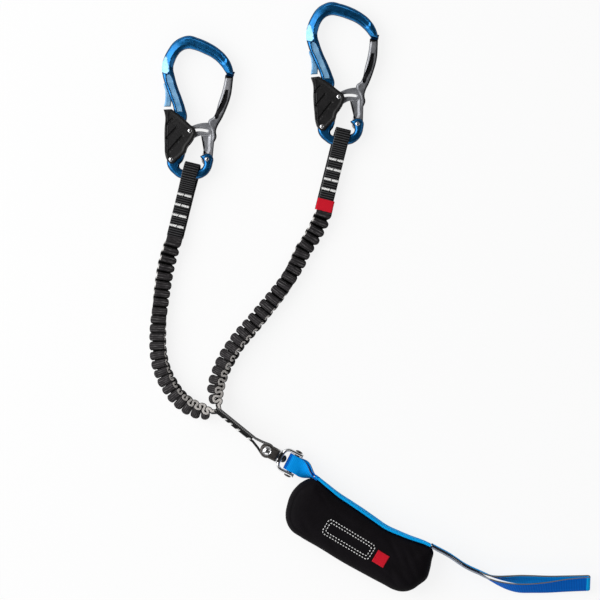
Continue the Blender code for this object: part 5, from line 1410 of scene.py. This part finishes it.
def swivel():
    place = Matrix.Translation((0, 0, SWIVEL_LIFT)) @ Matrix.Rotation(SWIVEL_TURN, 4, "Z")
    along = Matrix.Rotation(math.pi / 2, 4, "Y")
    crosswise = Matrix.Rotation(-math.pi / 2, 4, "X")
    outline = [(BRIDGE_END, 0.0054), (0.0054, 0.0054)]
    for step in range(31):
        angle = math.radians(60 + 240 * step / 30)
        outline.append((0.0063 * math.cos(angle), 0.0063 * math.sin(angle)))
    outline += [(0.0054, -0.0054), (BRIDGE_END, -0.0054)]
    head = relief(outline, lambda x, y, d: rounded(d, HEAD_HALF, 0.0016), step=0.0005, depth=0.0017, grid=0.0008)
    placed(head, "swivel_clevis", place, HEAD_METAL, "swivel", ("swivel_head",), cut=(
        block((-0.012, -0.012, -SLOT_HALF), (BRIDGE_START, 0.012, SLOT_HALF), place),
        rod(0.0025, 0.02, place), rod(0.0025, 0.002, place @ Matrix.Translation((BRIDGE_START, 0, 0)) @ along),
    ), slot="dark_steel")
    turned("swivel_tube", ((0.0046, SLOT_HALF - FIT), (0.0046, FIT - SLOT_HALF), (0.0025, FIT - SLOT_HALF),
                           (0.0025, SLOT_HALF - FIT)), place, BRIGHT_STEEL, "stem", ("swivel_bush",), 48,
           slot="polished_steel")
    reach = HEAD_HALF + FIT
    rivet = [(0.0, reach + 0.00115), (0.0010, reach + 0.0011), (0.0019, reach + 0.00095), (0.0026, reach + 0.00065),
             (0.0030, reach + 0.00035), (0.0032, reach + 0.00030), (0.0036, reach + 0.00055), (0.0039, reach + 0.00050),
             (0.0041, reach + 0.0002), (0.0041, reach), (0.0022, reach), (0.0022, -reach), (0.0041, -reach),
             (0.0037, -reach - 0.0010), (0.0, -reach - 0.0010)]
    turned("swivel_rivet_head", rivet, place, BRIGHT_STEEL, "swivel", ("swivel_rivet",), 56, 30,
           slot="polished_steel")
    collar = place @ Matrix.Translation((COLLAR_START + 0.0005, 0, 0)) @ along
    turned("swivel_washer", ((0.0062, 0.0005), (0.0064, 0.0003), (0.0064, -0.0003), (0.0062, -0.0005),
                             (0.0025, -0.0005), (0.0025, 0.0005)), collar, BRIGHT_STEEL, "swivel", ("swivel_collar",),
           56, 30, slot="polished_steel")
    turned("swivel_seal", ((0.0060, 0.0022), (0.0064, 0.0019), (0.0064, 0.0009), (0.0062, 0.0007), (0.0025, 0.0007),
                           (0.0025, 0.0022)), collar, PLASTIC, "shackle_group", (), 56, 30, slot="moulded_black")
    nut = CROWN_END + FIT
    tip = nut + 0.0034
    spindle = [(0.0, tip)]
    spindle += [(0.0036 * math.sin(math.pi / 2 * n / 8), nut + 0.0034 * (0.10 + 0.90 * math.cos(math.pi / 2 * n / 8)))
                for n in range(1, 9)]
    spindle += [(0.0036, nut), (0.0022, nut), (0.0022, FLANGE_START + 0.0008), (0.0033, FLANGE_START + 0.0008),
                (0.0033, FLANGE_START), (0.0, FLANGE_START)]
    turned("swivel_ball", spindle, place @ along, DARK_STEEL, "swivel", ("swivel_spindle",), 40, 40, slot="dark_steel")
    end = PIN_REACH + 0.0050

    def u_half(start, half_width, corner):
        spots = [(end, -half_width)]
        for step in range(17):
            angle = math.pi / 2 * step / 16
            spots.append((start + corner * (1 - math.sin(angle)), -half_width + corner * (1 - math.cos(angle))))
        return spots

    outer, inner = u_half(CROWN_START, 0.0112, 0.0070), u_half(CROWN_END, 0.0082, 0.0040)
    outline = outer + [(x, -y) for x, y in outer[::-1]] + [(x, -y) for x, y in inner] + inner[::-1]
    shackle = relief(outline, lambda x, y, d: rounded(d, 0.0042, 0.0014), step=0.0005, depth=0.0015, grid=0.0007)
    placed(shackle, "shackle_bow", place, BRIGHT_STEEL, "shackle_group", ("shackle",), cut=(
        rod(0.0025, 0.004, place @ Matrix.Translation((CROWN_START + 0.0015, 0, 0)) @ along),
        rod(0.0027, 0.02, place @ Matrix.Translation((PIN_REACH, 0, 0)) @ crosswise),
    ), slot="polished_steel")
    turned("shackle_bolt", dome_profile(0.0112 + FIT, 0.0024, 0.0034, 0.0014),
           place @ Matrix.Translation((PIN_REACH, 0, 0)) @ crosswise, DARK_STEEL, "shackle_group", ("shackle_pin",),
           slot="dark_steel")


# Absorber
POUCH_LIFT = 0.0130
POUCH_PLACE = Matrix.Translation((0.0439, -0.0250, POUCH_LIFT)) @ Matrix.Rotation(math.radians(-31), 4, "Z")
POUCH_SIZE = (0.1430, 0.0520)
POUCH_SHARES = (
    (0.006, 0.010), (0.082, -0.030), (0.172, -0.070), (0.263, -0.082), (0.354, -0.094),
    (0.445, -0.112), (0.536, -0.126), (0.619, -0.100), (0.699, -0.064), (0.777, -0.022),
    (0.832, -0.004), (0.864, -0.040), (0.884, -0.180), (0.908, -0.370), (0.916, -0.500),
    (0.897, -0.650), (0.870, -0.800), (0.830, -0.900), (0.780, -0.950), (0.700, -0.965),
    (0.560, -0.985), (0.405, -1.000),
    (0.245, -0.995), (0.100, -1.000), (0.035, -0.985), (-0.014, -0.910), (-0.045, -0.810),
    (-0.070, -0.640), (-0.083, -0.480), (-0.080, -0.320), (-0.058, -0.150), (-0.022, -0.030),
)
STRAP_SHARES = (
    (-0.010, 0.030), (0.082, -0.006), (0.172, -0.040), (0.263, -0.052), (0.354, -0.064),
    (0.445, -0.082), (0.536, -0.096), (0.619, -0.070), (0.699, -0.034), (0.777, 0.012),
    (0.830, 0.030),
)
WEBBING_WIDTH = 0.0150
WEBBING_THICKNESS = 0.0015
STRAP_THICKNESS = 0.0022
STRAP_LEAN = math.radians(6)


def folded_loop(name, route, twist, half_gap, steps, materials, body, stands_for, nose=1.0):
    line, reach = smooth_route(route)
    stations = []
    for index in range(steps + 1):
        share = index / steps
        spot, ahead = along_route(line, reach, reach[-1] * share)
        across, depth = turn_frame(ahead, twist(share))
        stations.append((spot, ahead, across, depth, half_gap(share)))
    path = [spot + depth * gap for spot, ahead, across, depth, gap in stations]
    sides = [across for spot, ahead, across, depth, gap in stations]
    spot, ahead, across, depth, gap = stations[-1]
    for step in range(1, 20):
        angle = math.pi * step / 20
        path.append(spot + ahead * gap * nose * math.sin(angle) + depth * gap * math.cos(angle))
        sides.append(across)
    path += [spot - depth * gap for spot, ahead, across, depth, gap in stations[::-1]]
    sides += [across for spot, ahead, across, depth, gap in stations[::-1]]
    return band(name, path, sides, WEBBING_WIDTH, WEBBING_THICKNESS, materials, body, stands_for, step=0.0005,
                slot="webbing_blue")


def recolour(piece, material, chosen):
    """Gives a material to the faces that chosen picks by their share of the band's length and their old slot."""
    piece.data.materials.append(material)
    places = piece.data.uv_layers["UVMap"].data
    longest = max(spot.uv.y for spot in places)
    for face in piece.data.polygons:
        if chosen(places[face.loop_start].uv.y / longest, face.material_index):
            face.material_index = len(piece.data.materials) - 1


def front_loop():
    ahead = Vector((math.cos(SWIVEL_TURN), math.sin(SWIVEL_TURN), 0))
    pin = ahead * PIN_REACH + Vector((0, 0, SWIVEL_LIFT))
    straight = pin + ahead * 0.0090
    pinch = Vector((0.0439, -0.0250 + 0.015 * 0.0520, POUCH_LIFT))
    tucked = pinch + (pinch - straight).normalized() * 0.0025
    route = [tucked, pinch, pinch.lerp(straight, 0.5), straight, pin.lerp(straight, 0.5), pin]
    wrap = 0.0024 + FIT + WEBBING_THICKNESS / 2
    tape = folded_loop("front_webbing", route, lambda share: math.pi / 2 * (1 - ease((share - 0.06) / 0.84)),
                lambda share: 0.0010 + (wrap - 0.0010) * ease(share), 60, (BLUE_FACE, BLUE_FACE, BLUE_EDGE),
                "absorber", ("front_loop",), nose=1.7)
    # Painted shade: the turn round the pin, and the edges near the pouch, take the darker copy of the azure webbing.
    recolour(tape, BLUE_WEBBING_SHADE, lambda share, old: abs(share - 0.5) < 0.065 and old == 0)
    recolour(tape, BLUE_WEBBING_SHADE, lambda share, old: abs(share - 0.5) > 0.40 and old != 0)


def tail_loop():
    end = Vector((*scaled(STRAP_SHARES[-1:], *POUCH_SIZE)[0], 0))
    start = POUCH_PLACE @ (end + Vector((FIT * 4, 0, 0)))
    shares = (
        (0.000, 0.000, 0.000), (0.111, -0.060, -0.008), (0.213, -0.128, -0.016),
        (0.303, -0.171, -0.020), (0.399, -0.212, -0.020), (0.527, -0.240, -0.022),
        (0.655, -0.245, -0.023), (0.745, -0.246, -0.024), (0.835, -0.243, -0.024),
        (0.925, -0.240, -0.024), (0.993, -0.238, -0.024),
    )
    route = [start + Vector(share) * 0.1410 for share in shares]

    def twist(share):
        return math.radians(90 + 35 * ease((share - 0.34) / 0.28) + 22 * ease((share - 0.60) / 0.40))

    def half_gap(share):
        return 0.0011 + 0.0035 * ease((share - 0.33) / 0.29) - 0.0030 * ease((share - 0.58) / 0.42)

    tape = folded_loop("tail_webbing", route, twist, half_gap, 120, (BLUE_FACE, BLUE_EDGE, BLUE_EDGE), "absorber",
                       ("tail_loop",))
    # Painted light and shade: the first leg's faces take the lighter copy of the webbing, the second leg's the darker
    # copy.
    recolour(tape, BLUE_WEBBING_LIT, lambda share, old: share < 0.508 and old == 0)
    recolour(tape, BLUE_WEBBING_SHADE, lambda share, old: share >= 0.508 and old == 0)
    recolour(tape, STEM_DARK, lambda share, old: share < 0.16 and old in (1, 2))
    recolour(tape, PALE_SELVEDGE, lambda share, old: share > 0.80 and old in (1, 2))


def top_strap():
    route = [Vector((*spot, 0)) for spot in scaled(STRAP_SHARES, *POUCH_SIZE)]
    line, reach = smooth_route(route)
    sides = []
    for distance in reach:
        lean = STRAP_LEAN * math.sin(math.pi * distance / reach[-1])
        sides.append((POUCH_PLACE.to_3x3() @ Vector((0, -math.sin(lean), math.cos(lean)))).normalized())
    # Painted light: the whole strap takes the lighter copy of the azure webbing.
    band("top_webbing", [POUCH_PLACE @ spot for spot in line], sides, WEBBING_WIDTH, STRAP_THICKNESS,
         (BLUE_WEBBING_LIT, BLUE_WEBBING_LIT, BLUE_WEBBING_LIT), "absorber", ("top_strap",), slot="webbing_blue")


FRAME_CENTRE, FRAME_HALF = (0.0525, -0.0310), (0.0240, 0.0072)
PATCH_CENTRE, PATCH_HALF = (0.0858, -0.0312), 0.0058


def stitched_frame(on_skin):
    """A plain stitched frame where the pouch's name was."""
    strands = []
    for half_x, half_y, radius in ((*FRAME_HALF, 0.0030), (FRAME_HALF[0] - 0.0026, FRAME_HALF[1] - 0.0026, 0.0016)):
        ring = []
        for cx, cy, start in ((1, 1, 0), (-1, 1, 90), (-1, -1, 180), (1, -1, 270)):
            for step in range(7):
                angle = math.radians(start + 15 * step)
                ring.append((FRAME_CENTRE[0] + cx * (half_x - radius) + radius * math.cos(angle),
                             FRAME_CENTRE[1] + cy * (half_y - radius) + radius * math.sin(angle)))
        line = respaced(np.array(ring), 0.0004)
        heights = on_skin(line)
        stitch, pause = 5, 2
        for first in range(0, len(line) - stitch, stitch + pause):
            run = []
            for index in range(stitch):
                lift = 0.0002 if 0 < index < stitch - 1 else -0.0001
                run.append(POUCH_PLACE @ Vector((*line[first + index], heights[first + index] + lift)))
            strands.append(run)
    thread_run("pouch_stitched_frame", strands, 0.00042, WHITE, "absorber", slot="white_thread")


def square_patch(on_skin):
    """A bare square of woven label, sewn down round its edge."""
    x, y, half = *PATCH_CENTRE, PATCH_HALF
    outline = ((x - half, y - half), (x + half, y - half), (x + half, y + half), (x - half, y + half))

    def top(x, y, d):
        return on_skin(np.stack([x, y], axis=1)) + 0.0003 + 0.0003 * smoothstep(0.0, 0.0004, d)

    def low(x, y, d):
        return on_skin(np.stack([x, y], axis=1)) - 0.0003

    cage = relief(outline, top, step=0.0005, depth=0.0010, grid=0.0009, low=low)
    layer = cage.loops.layers.uv.new("UVMap")
    for face in cage.faces:
        for loop in face.loops:
            loop[layer].uv = (loop.vert.co.x * 1000, loop.vert.co.y * 1000)
    placed(cage, "pouch_square_patch", POUCH_PLACE, LABEL, "absorber", (), slot="label_red")
    strands = []
    inset = half - 0.0007
    for turn in range(4):
        quarter = Matrix.Rotation(math.pi / 2 * turn, 2)
        for number in range(9):
            start = -inset + 2 * inset * number / 9
            spots = [Vector(PATCH_CENTRE) + quarter @ Vector((start + 0.00028 * step, inset)) for step in range(4)]
            heights = on_skin([tuple(spot) for spot in spots])
            strands.append([POUCH_PLACE @ Vector((*spot, height + (0.0007 if 0 < index < 3 else 0.0005)))
                            for index, (spot, height) in enumerate(zip(spots, heights))])
    thread_run("pouch_patch_stitches", strands, 0.00018, RED_THREAD, "absorber", slot="label_red")


def pouch():
    outline = spline_outline(scaled(POUCH_SHARES, *POUCH_SIZE), ())
    middle_y = -0.54 * POUCH_SIZE[1]
    folds = [(rng.uniform(0.0, 0.13), rng.uniform(-0.050, -0.005), rng.uniform(-0.7, 0.7), rng.uniform(0.010, 0.022),
              rng.uniform(0.0016, 0.003), rng.uniform(0.00025, 0.0006)) for _ in range(16)]

    def skin(x, y, d):
        share = 1 - np.clip(d / 0.0215, 0, 1)
        z = 0.0014 + 0.0115 * (1 - share ** 3.0) ** (1 / 2.2)
        for at_x, at_y, turn, reach, width, deep in folds:
            along = (x - at_x) * math.cos(turn) + (y - at_y) * math.sin(turn)
            off = (y - at_y) * math.cos(turn) - (x - at_x) * math.sin(turn)
            z = z - deep * np.exp(-(along / reach) ** 2 - (off / width) ** 2) * smoothstep(0.002, 0.008, d)
        seam = 0.0009 * np.exp(-((d - 0.0046) / 0.0007) ** 2)
        return np.minimum(z - seam * smoothstep(0.03, 0.0, x), POUCH_LIFT)

    def under(x, y, d):
        share = 1 - np.clip(d / 0.0215, 0, 1)
        return -np.minimum(0.0014 + 0.0121 * (1 - share ** 3.0) ** (1 / 2.2), POUCH_LIFT - 0.0001)

    def on_skin(spots):
        spots = np.array(spots)
        return skin(spots[:, 0], spots[:, 1], rim_distance(spots, [outline]))

    stitched_frame(on_skin)
    square_patch(on_skin)
    cage = relief(outline, skin, step=0.0008, depth=0.0036, grid=0.0013, low=under,
                  creases=ridge_lines(outline, (0.0040, 0.0046, 0.0052), 0.0010))
    stuffed = placed(cage, "pouch_skin", POUCH_PLACE, NEOPRENE, "absorber", ("pouch_front", "pouch_back"), 60,
                     slot="pouch_cloth")
    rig.padded(stuffed, fill=0.8)
    line = respaced(outline, 0.0007)
    ahead = np.roll(line, -1, axis=0) - np.roll(line, 1, axis=0)
    ahead /= np.hypot(ahead[:, 0], ahead[:, 1])[:, None]
    inward = np.stack([-ahead[:, 1], ahead[:, 0]], axis=1)
    if not inside(line[:1] + inward[:1] * 0.002, line)[0]:
        inward = -inward
    centre = line + inward * 0.0012
    cage = bmesh.new()
    rings = []
    for index, (spot, way) in enumerate(zip(centre, inward)):
        radius = 0.00135 * (1 + 0.03 * math.sin(index * 1.9))
        rings.append([cage.verts.new(POUCH_PLACE @ Vector((
            spot[0] + way[0] * radius * math.cos(math.tau * n / 12), spot[1] + way[1] * radius * math.cos(math.tau * n / 12),
            radius * 1.15 * math.sin(math.tau * n / 12)))) for n in range(12)])
    for first, second in zip(rings, rings[1:] + rings[:1]):
        for n in range(12):
            m = (n + 1) % 12
            cage.faces.new((first[n], first[m], second[m], second[n]))
    bmesh.ops.recalc_face_normals(cage, faces=cage.faces)
    mesh = bpy.data.meshes.new("pouch_binding")
    cage.to_mesh(mesh)
    cage.free()
    soften(mesh, 60)
    keep("pouch_binding", mesh, BINDING, "absorber", ("pouch_piping",), "piping_cloth")


TEAR_PLACE_SHARES = (0.44, -0.57)
TEAR_LAYERS = 6
TEAR_PITCH = 0.0034
TEAR_HALF_LENGTH = 0.0450
TEAR_WIDTH = 0.0200


def tear_pack():
    """The webbing that tears to stop a fall, folded to and fro on its edge inside the pouch."""
    x, y = scaled((TEAR_PLACE_SHARES,), *POUCH_SIZE)[0]
    radius = TEAR_PITCH / 2
    path = []
    for layer in range(TEAR_LAYERS):
        way = 1 if layer % 2 == 0 else -1
        height = y + TEAR_PITCH * (layer - (TEAR_LAYERS - 1) / 2)
        path += [(x - way * TEAR_HALF_LENGTH, height), (x + way * TEAR_HALF_LENGTH, height)]
        if layer < TEAR_LAYERS - 1:
            for step in range(1, 8):
                angle = math.pi * step / 8
                path.append((x + way * (TEAR_HALF_LENGTH + radius * math.sin(angle)),
                             height + radius * (1 - math.cos(angle))))
    band("tear_pack", [POUCH_PLACE @ Vector((*spot, 0)) for spot in path], [UP] * len(path), TEAR_WIDTH,
         WEBBING_THICKNESS, (BLUE_FACE, BLUE_EDGE, BLUE_EDGE), "absorber", ("tear_webbing",), step=0.0006,
         slot="webbing_blue")


# The whole
LEFT_BAR, RIGHT_BAR = (-0.0672, 0.2477), (0.0687, 0.2784)
carabiner("left", LEFT_BAR, 0.0)
carabiner("right", RIGHT_BAR, math.radians(4))
sleeve("left", LEFT_BAR, 0.0, 0.0578, (0.0195, 0.0290, 0.0385, 0.0482))
label(sleeve("right", RIGHT_BAR, math.radians(4), 0.0657, (0.0185, 0.0275, 0.0370, 0.0460)))
for side in ("left", "right"):
    arm, route, length = elastic_arm(side)
    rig.cord(arm, exit=route[-1], length=length, diameter=ARM_WIDTH, far_end="object", stiffness="medium",
            lay="loose", path=route)
    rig.blend(arm, "stem", f"sleeve_{side}_group", route[-1], route[0])
stem()
swivel()
front_loop()
top_strap()
tail_loop()
pouch()
tear_pack()


# Floor, light and camera
CENTRE = (0.02952, 0.13473)


def floor():
    cage = bmesh.new()
    corners = [cage.verts.new((CENTRE[0] + x * 2.5, CENTRE[1] + y * 2.5, 0)) for x, y in ((-1, -1), (1, -1), (1, 1), (-1, 1))]
    cage.faces.new(corners)
    mesh = bpy.data.meshes.new("floor")
    cage.to_mesh(mesh)
    cage.free()
    made = bpy.data.objects.new("floor", mesh)
    bpy.context.scene.collection.objects.link(made)
    shade = Shade("pale_floor", roughness=0.9)
    shade.shader.inputs["Specular IOR Level"].default_value = 0.1
    cloud = shade.noise(shade.place(), 3.0, 2)
    shade.colour(shade.ramp(cloud, ((0.3, 0.95), (0.7, 0.97))))
    rays = shade.node("ShaderNodeLightPath").outputs
    seen = shade.sum(shade.sum(rays["Is Camera Ray"], rays["Is Glossy Ray"], "MAXIMUM"), 0.85, "MULTIPLY")
    glow = shade.node("ShaderNodeEmission", {"Strength": 1.0}).outputs[0]
    both = shade.node("ShaderNodeMixShader", {0: seen, 1: shade.shader.outputs[0], 2: glow}).outputs[0]
    shade.tree.links.new(both, shade.tree.nodes["Material Output"].inputs["Surface"])
    mesh.materials.append(shade.material)
    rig.stage(made)


def studio():
    """A white wall to the left, a dim one to the right, and a dark ceiling that the polished faces mirror."""
    world = bpy.data.worlds.new("studio")
    world.use_nodes = True
    tree = world.node_tree
    direction = tree.nodes.new("ShaderNodeTexCoord").outputs["Generated"]
    parts = tree.nodes.new("ShaderNodeSeparateXYZ")
    tree.links.new(direction, parts.inputs[0])
    ramp = tree.nodes.new("ShaderNodeValToRGB")
    tree.links.new(parts.outputs["Z"], ramp.inputs[0])
    stops = ((0.0, 1.0), (0.30, 0.95), (0.62, 0.45), (0.85, 0.16), (1.0, 0.10))
    while len(ramp.color_ramp.elements) < len(stops):
        ramp.color_ramp.elements.new(0.5)
    for element, (spot, level) in zip(ramp.color_ramp.elements, stops):
        element.position = spot
        element.color = (level, level, level, 1)
    across = tree.nodes.new("ShaderNodeMapRange")
    for socket, value in zip(across.inputs[1:5], (-0.6, 0.7, 1.0, 0.22)):
        socket.default_value = value
    tree.links.new(parts.outputs["X"], across.inputs[0])
    tree.links.new(ramp.outputs[0], tree.nodes["Background"].inputs[0])
    tree.links.new(across.outputs[0], tree.nodes["Background"].inputs[1])
    bpy.context.scene.world = world


def light(name, place, target, size, energy, colour=(1, 1, 1)):
    lamp = bpy.data.lights.new(name, "AREA")
    lamp.shape = "RECTANGLE"
    lamp.size, lamp.size_y = size
    lamp.energy = energy
    lamp.color = colour
    made = bpy.data.objects.new(name, lamp)
    made.location = place
    made.rotation_euler = (Vector(target) - Vector(place)).to_track_quat("-Z", "Y").to_euler()
    bpy.context.scene.collection.objects.link(made)


floor()
target = (*CENTRE, 0)
light("key_light", (CENTRE[0] - 1.25, CENTRE[1] + 0.40, 1.35), target, (1.6, 1.7), 31)
light("fill_light", (CENTRE[0] + 1.1, CENTRE[1] + 0.1, 1.2), target, (0.5, 1.2), 1.5)
light("low_light", (CENTRE[0] - 0.2, CENTRE[1] - 1.2, 1.0), target, (1.2, 0.5), 3)
studio()
bpy.context.scene.view_settings.view_transform = "Standard"

camera = bpy.data.cameras.new("camera")
camera.lens = 36 * 2.6 / 0.54
camera.sensor_width = 36
camera.clip_end = 20
eye = bpy.data.objects.new("camera", camera)
eye.location = (*CENTRE, 2.6)
bpy.context.scene.collection.objects.link(eye)
bpy.context.scene.camera = eye

with open("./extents.json", "w") as report:
    json.dump({"cad": CAD_BOX, "shown": [list(corner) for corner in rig.bounds()]}, report)
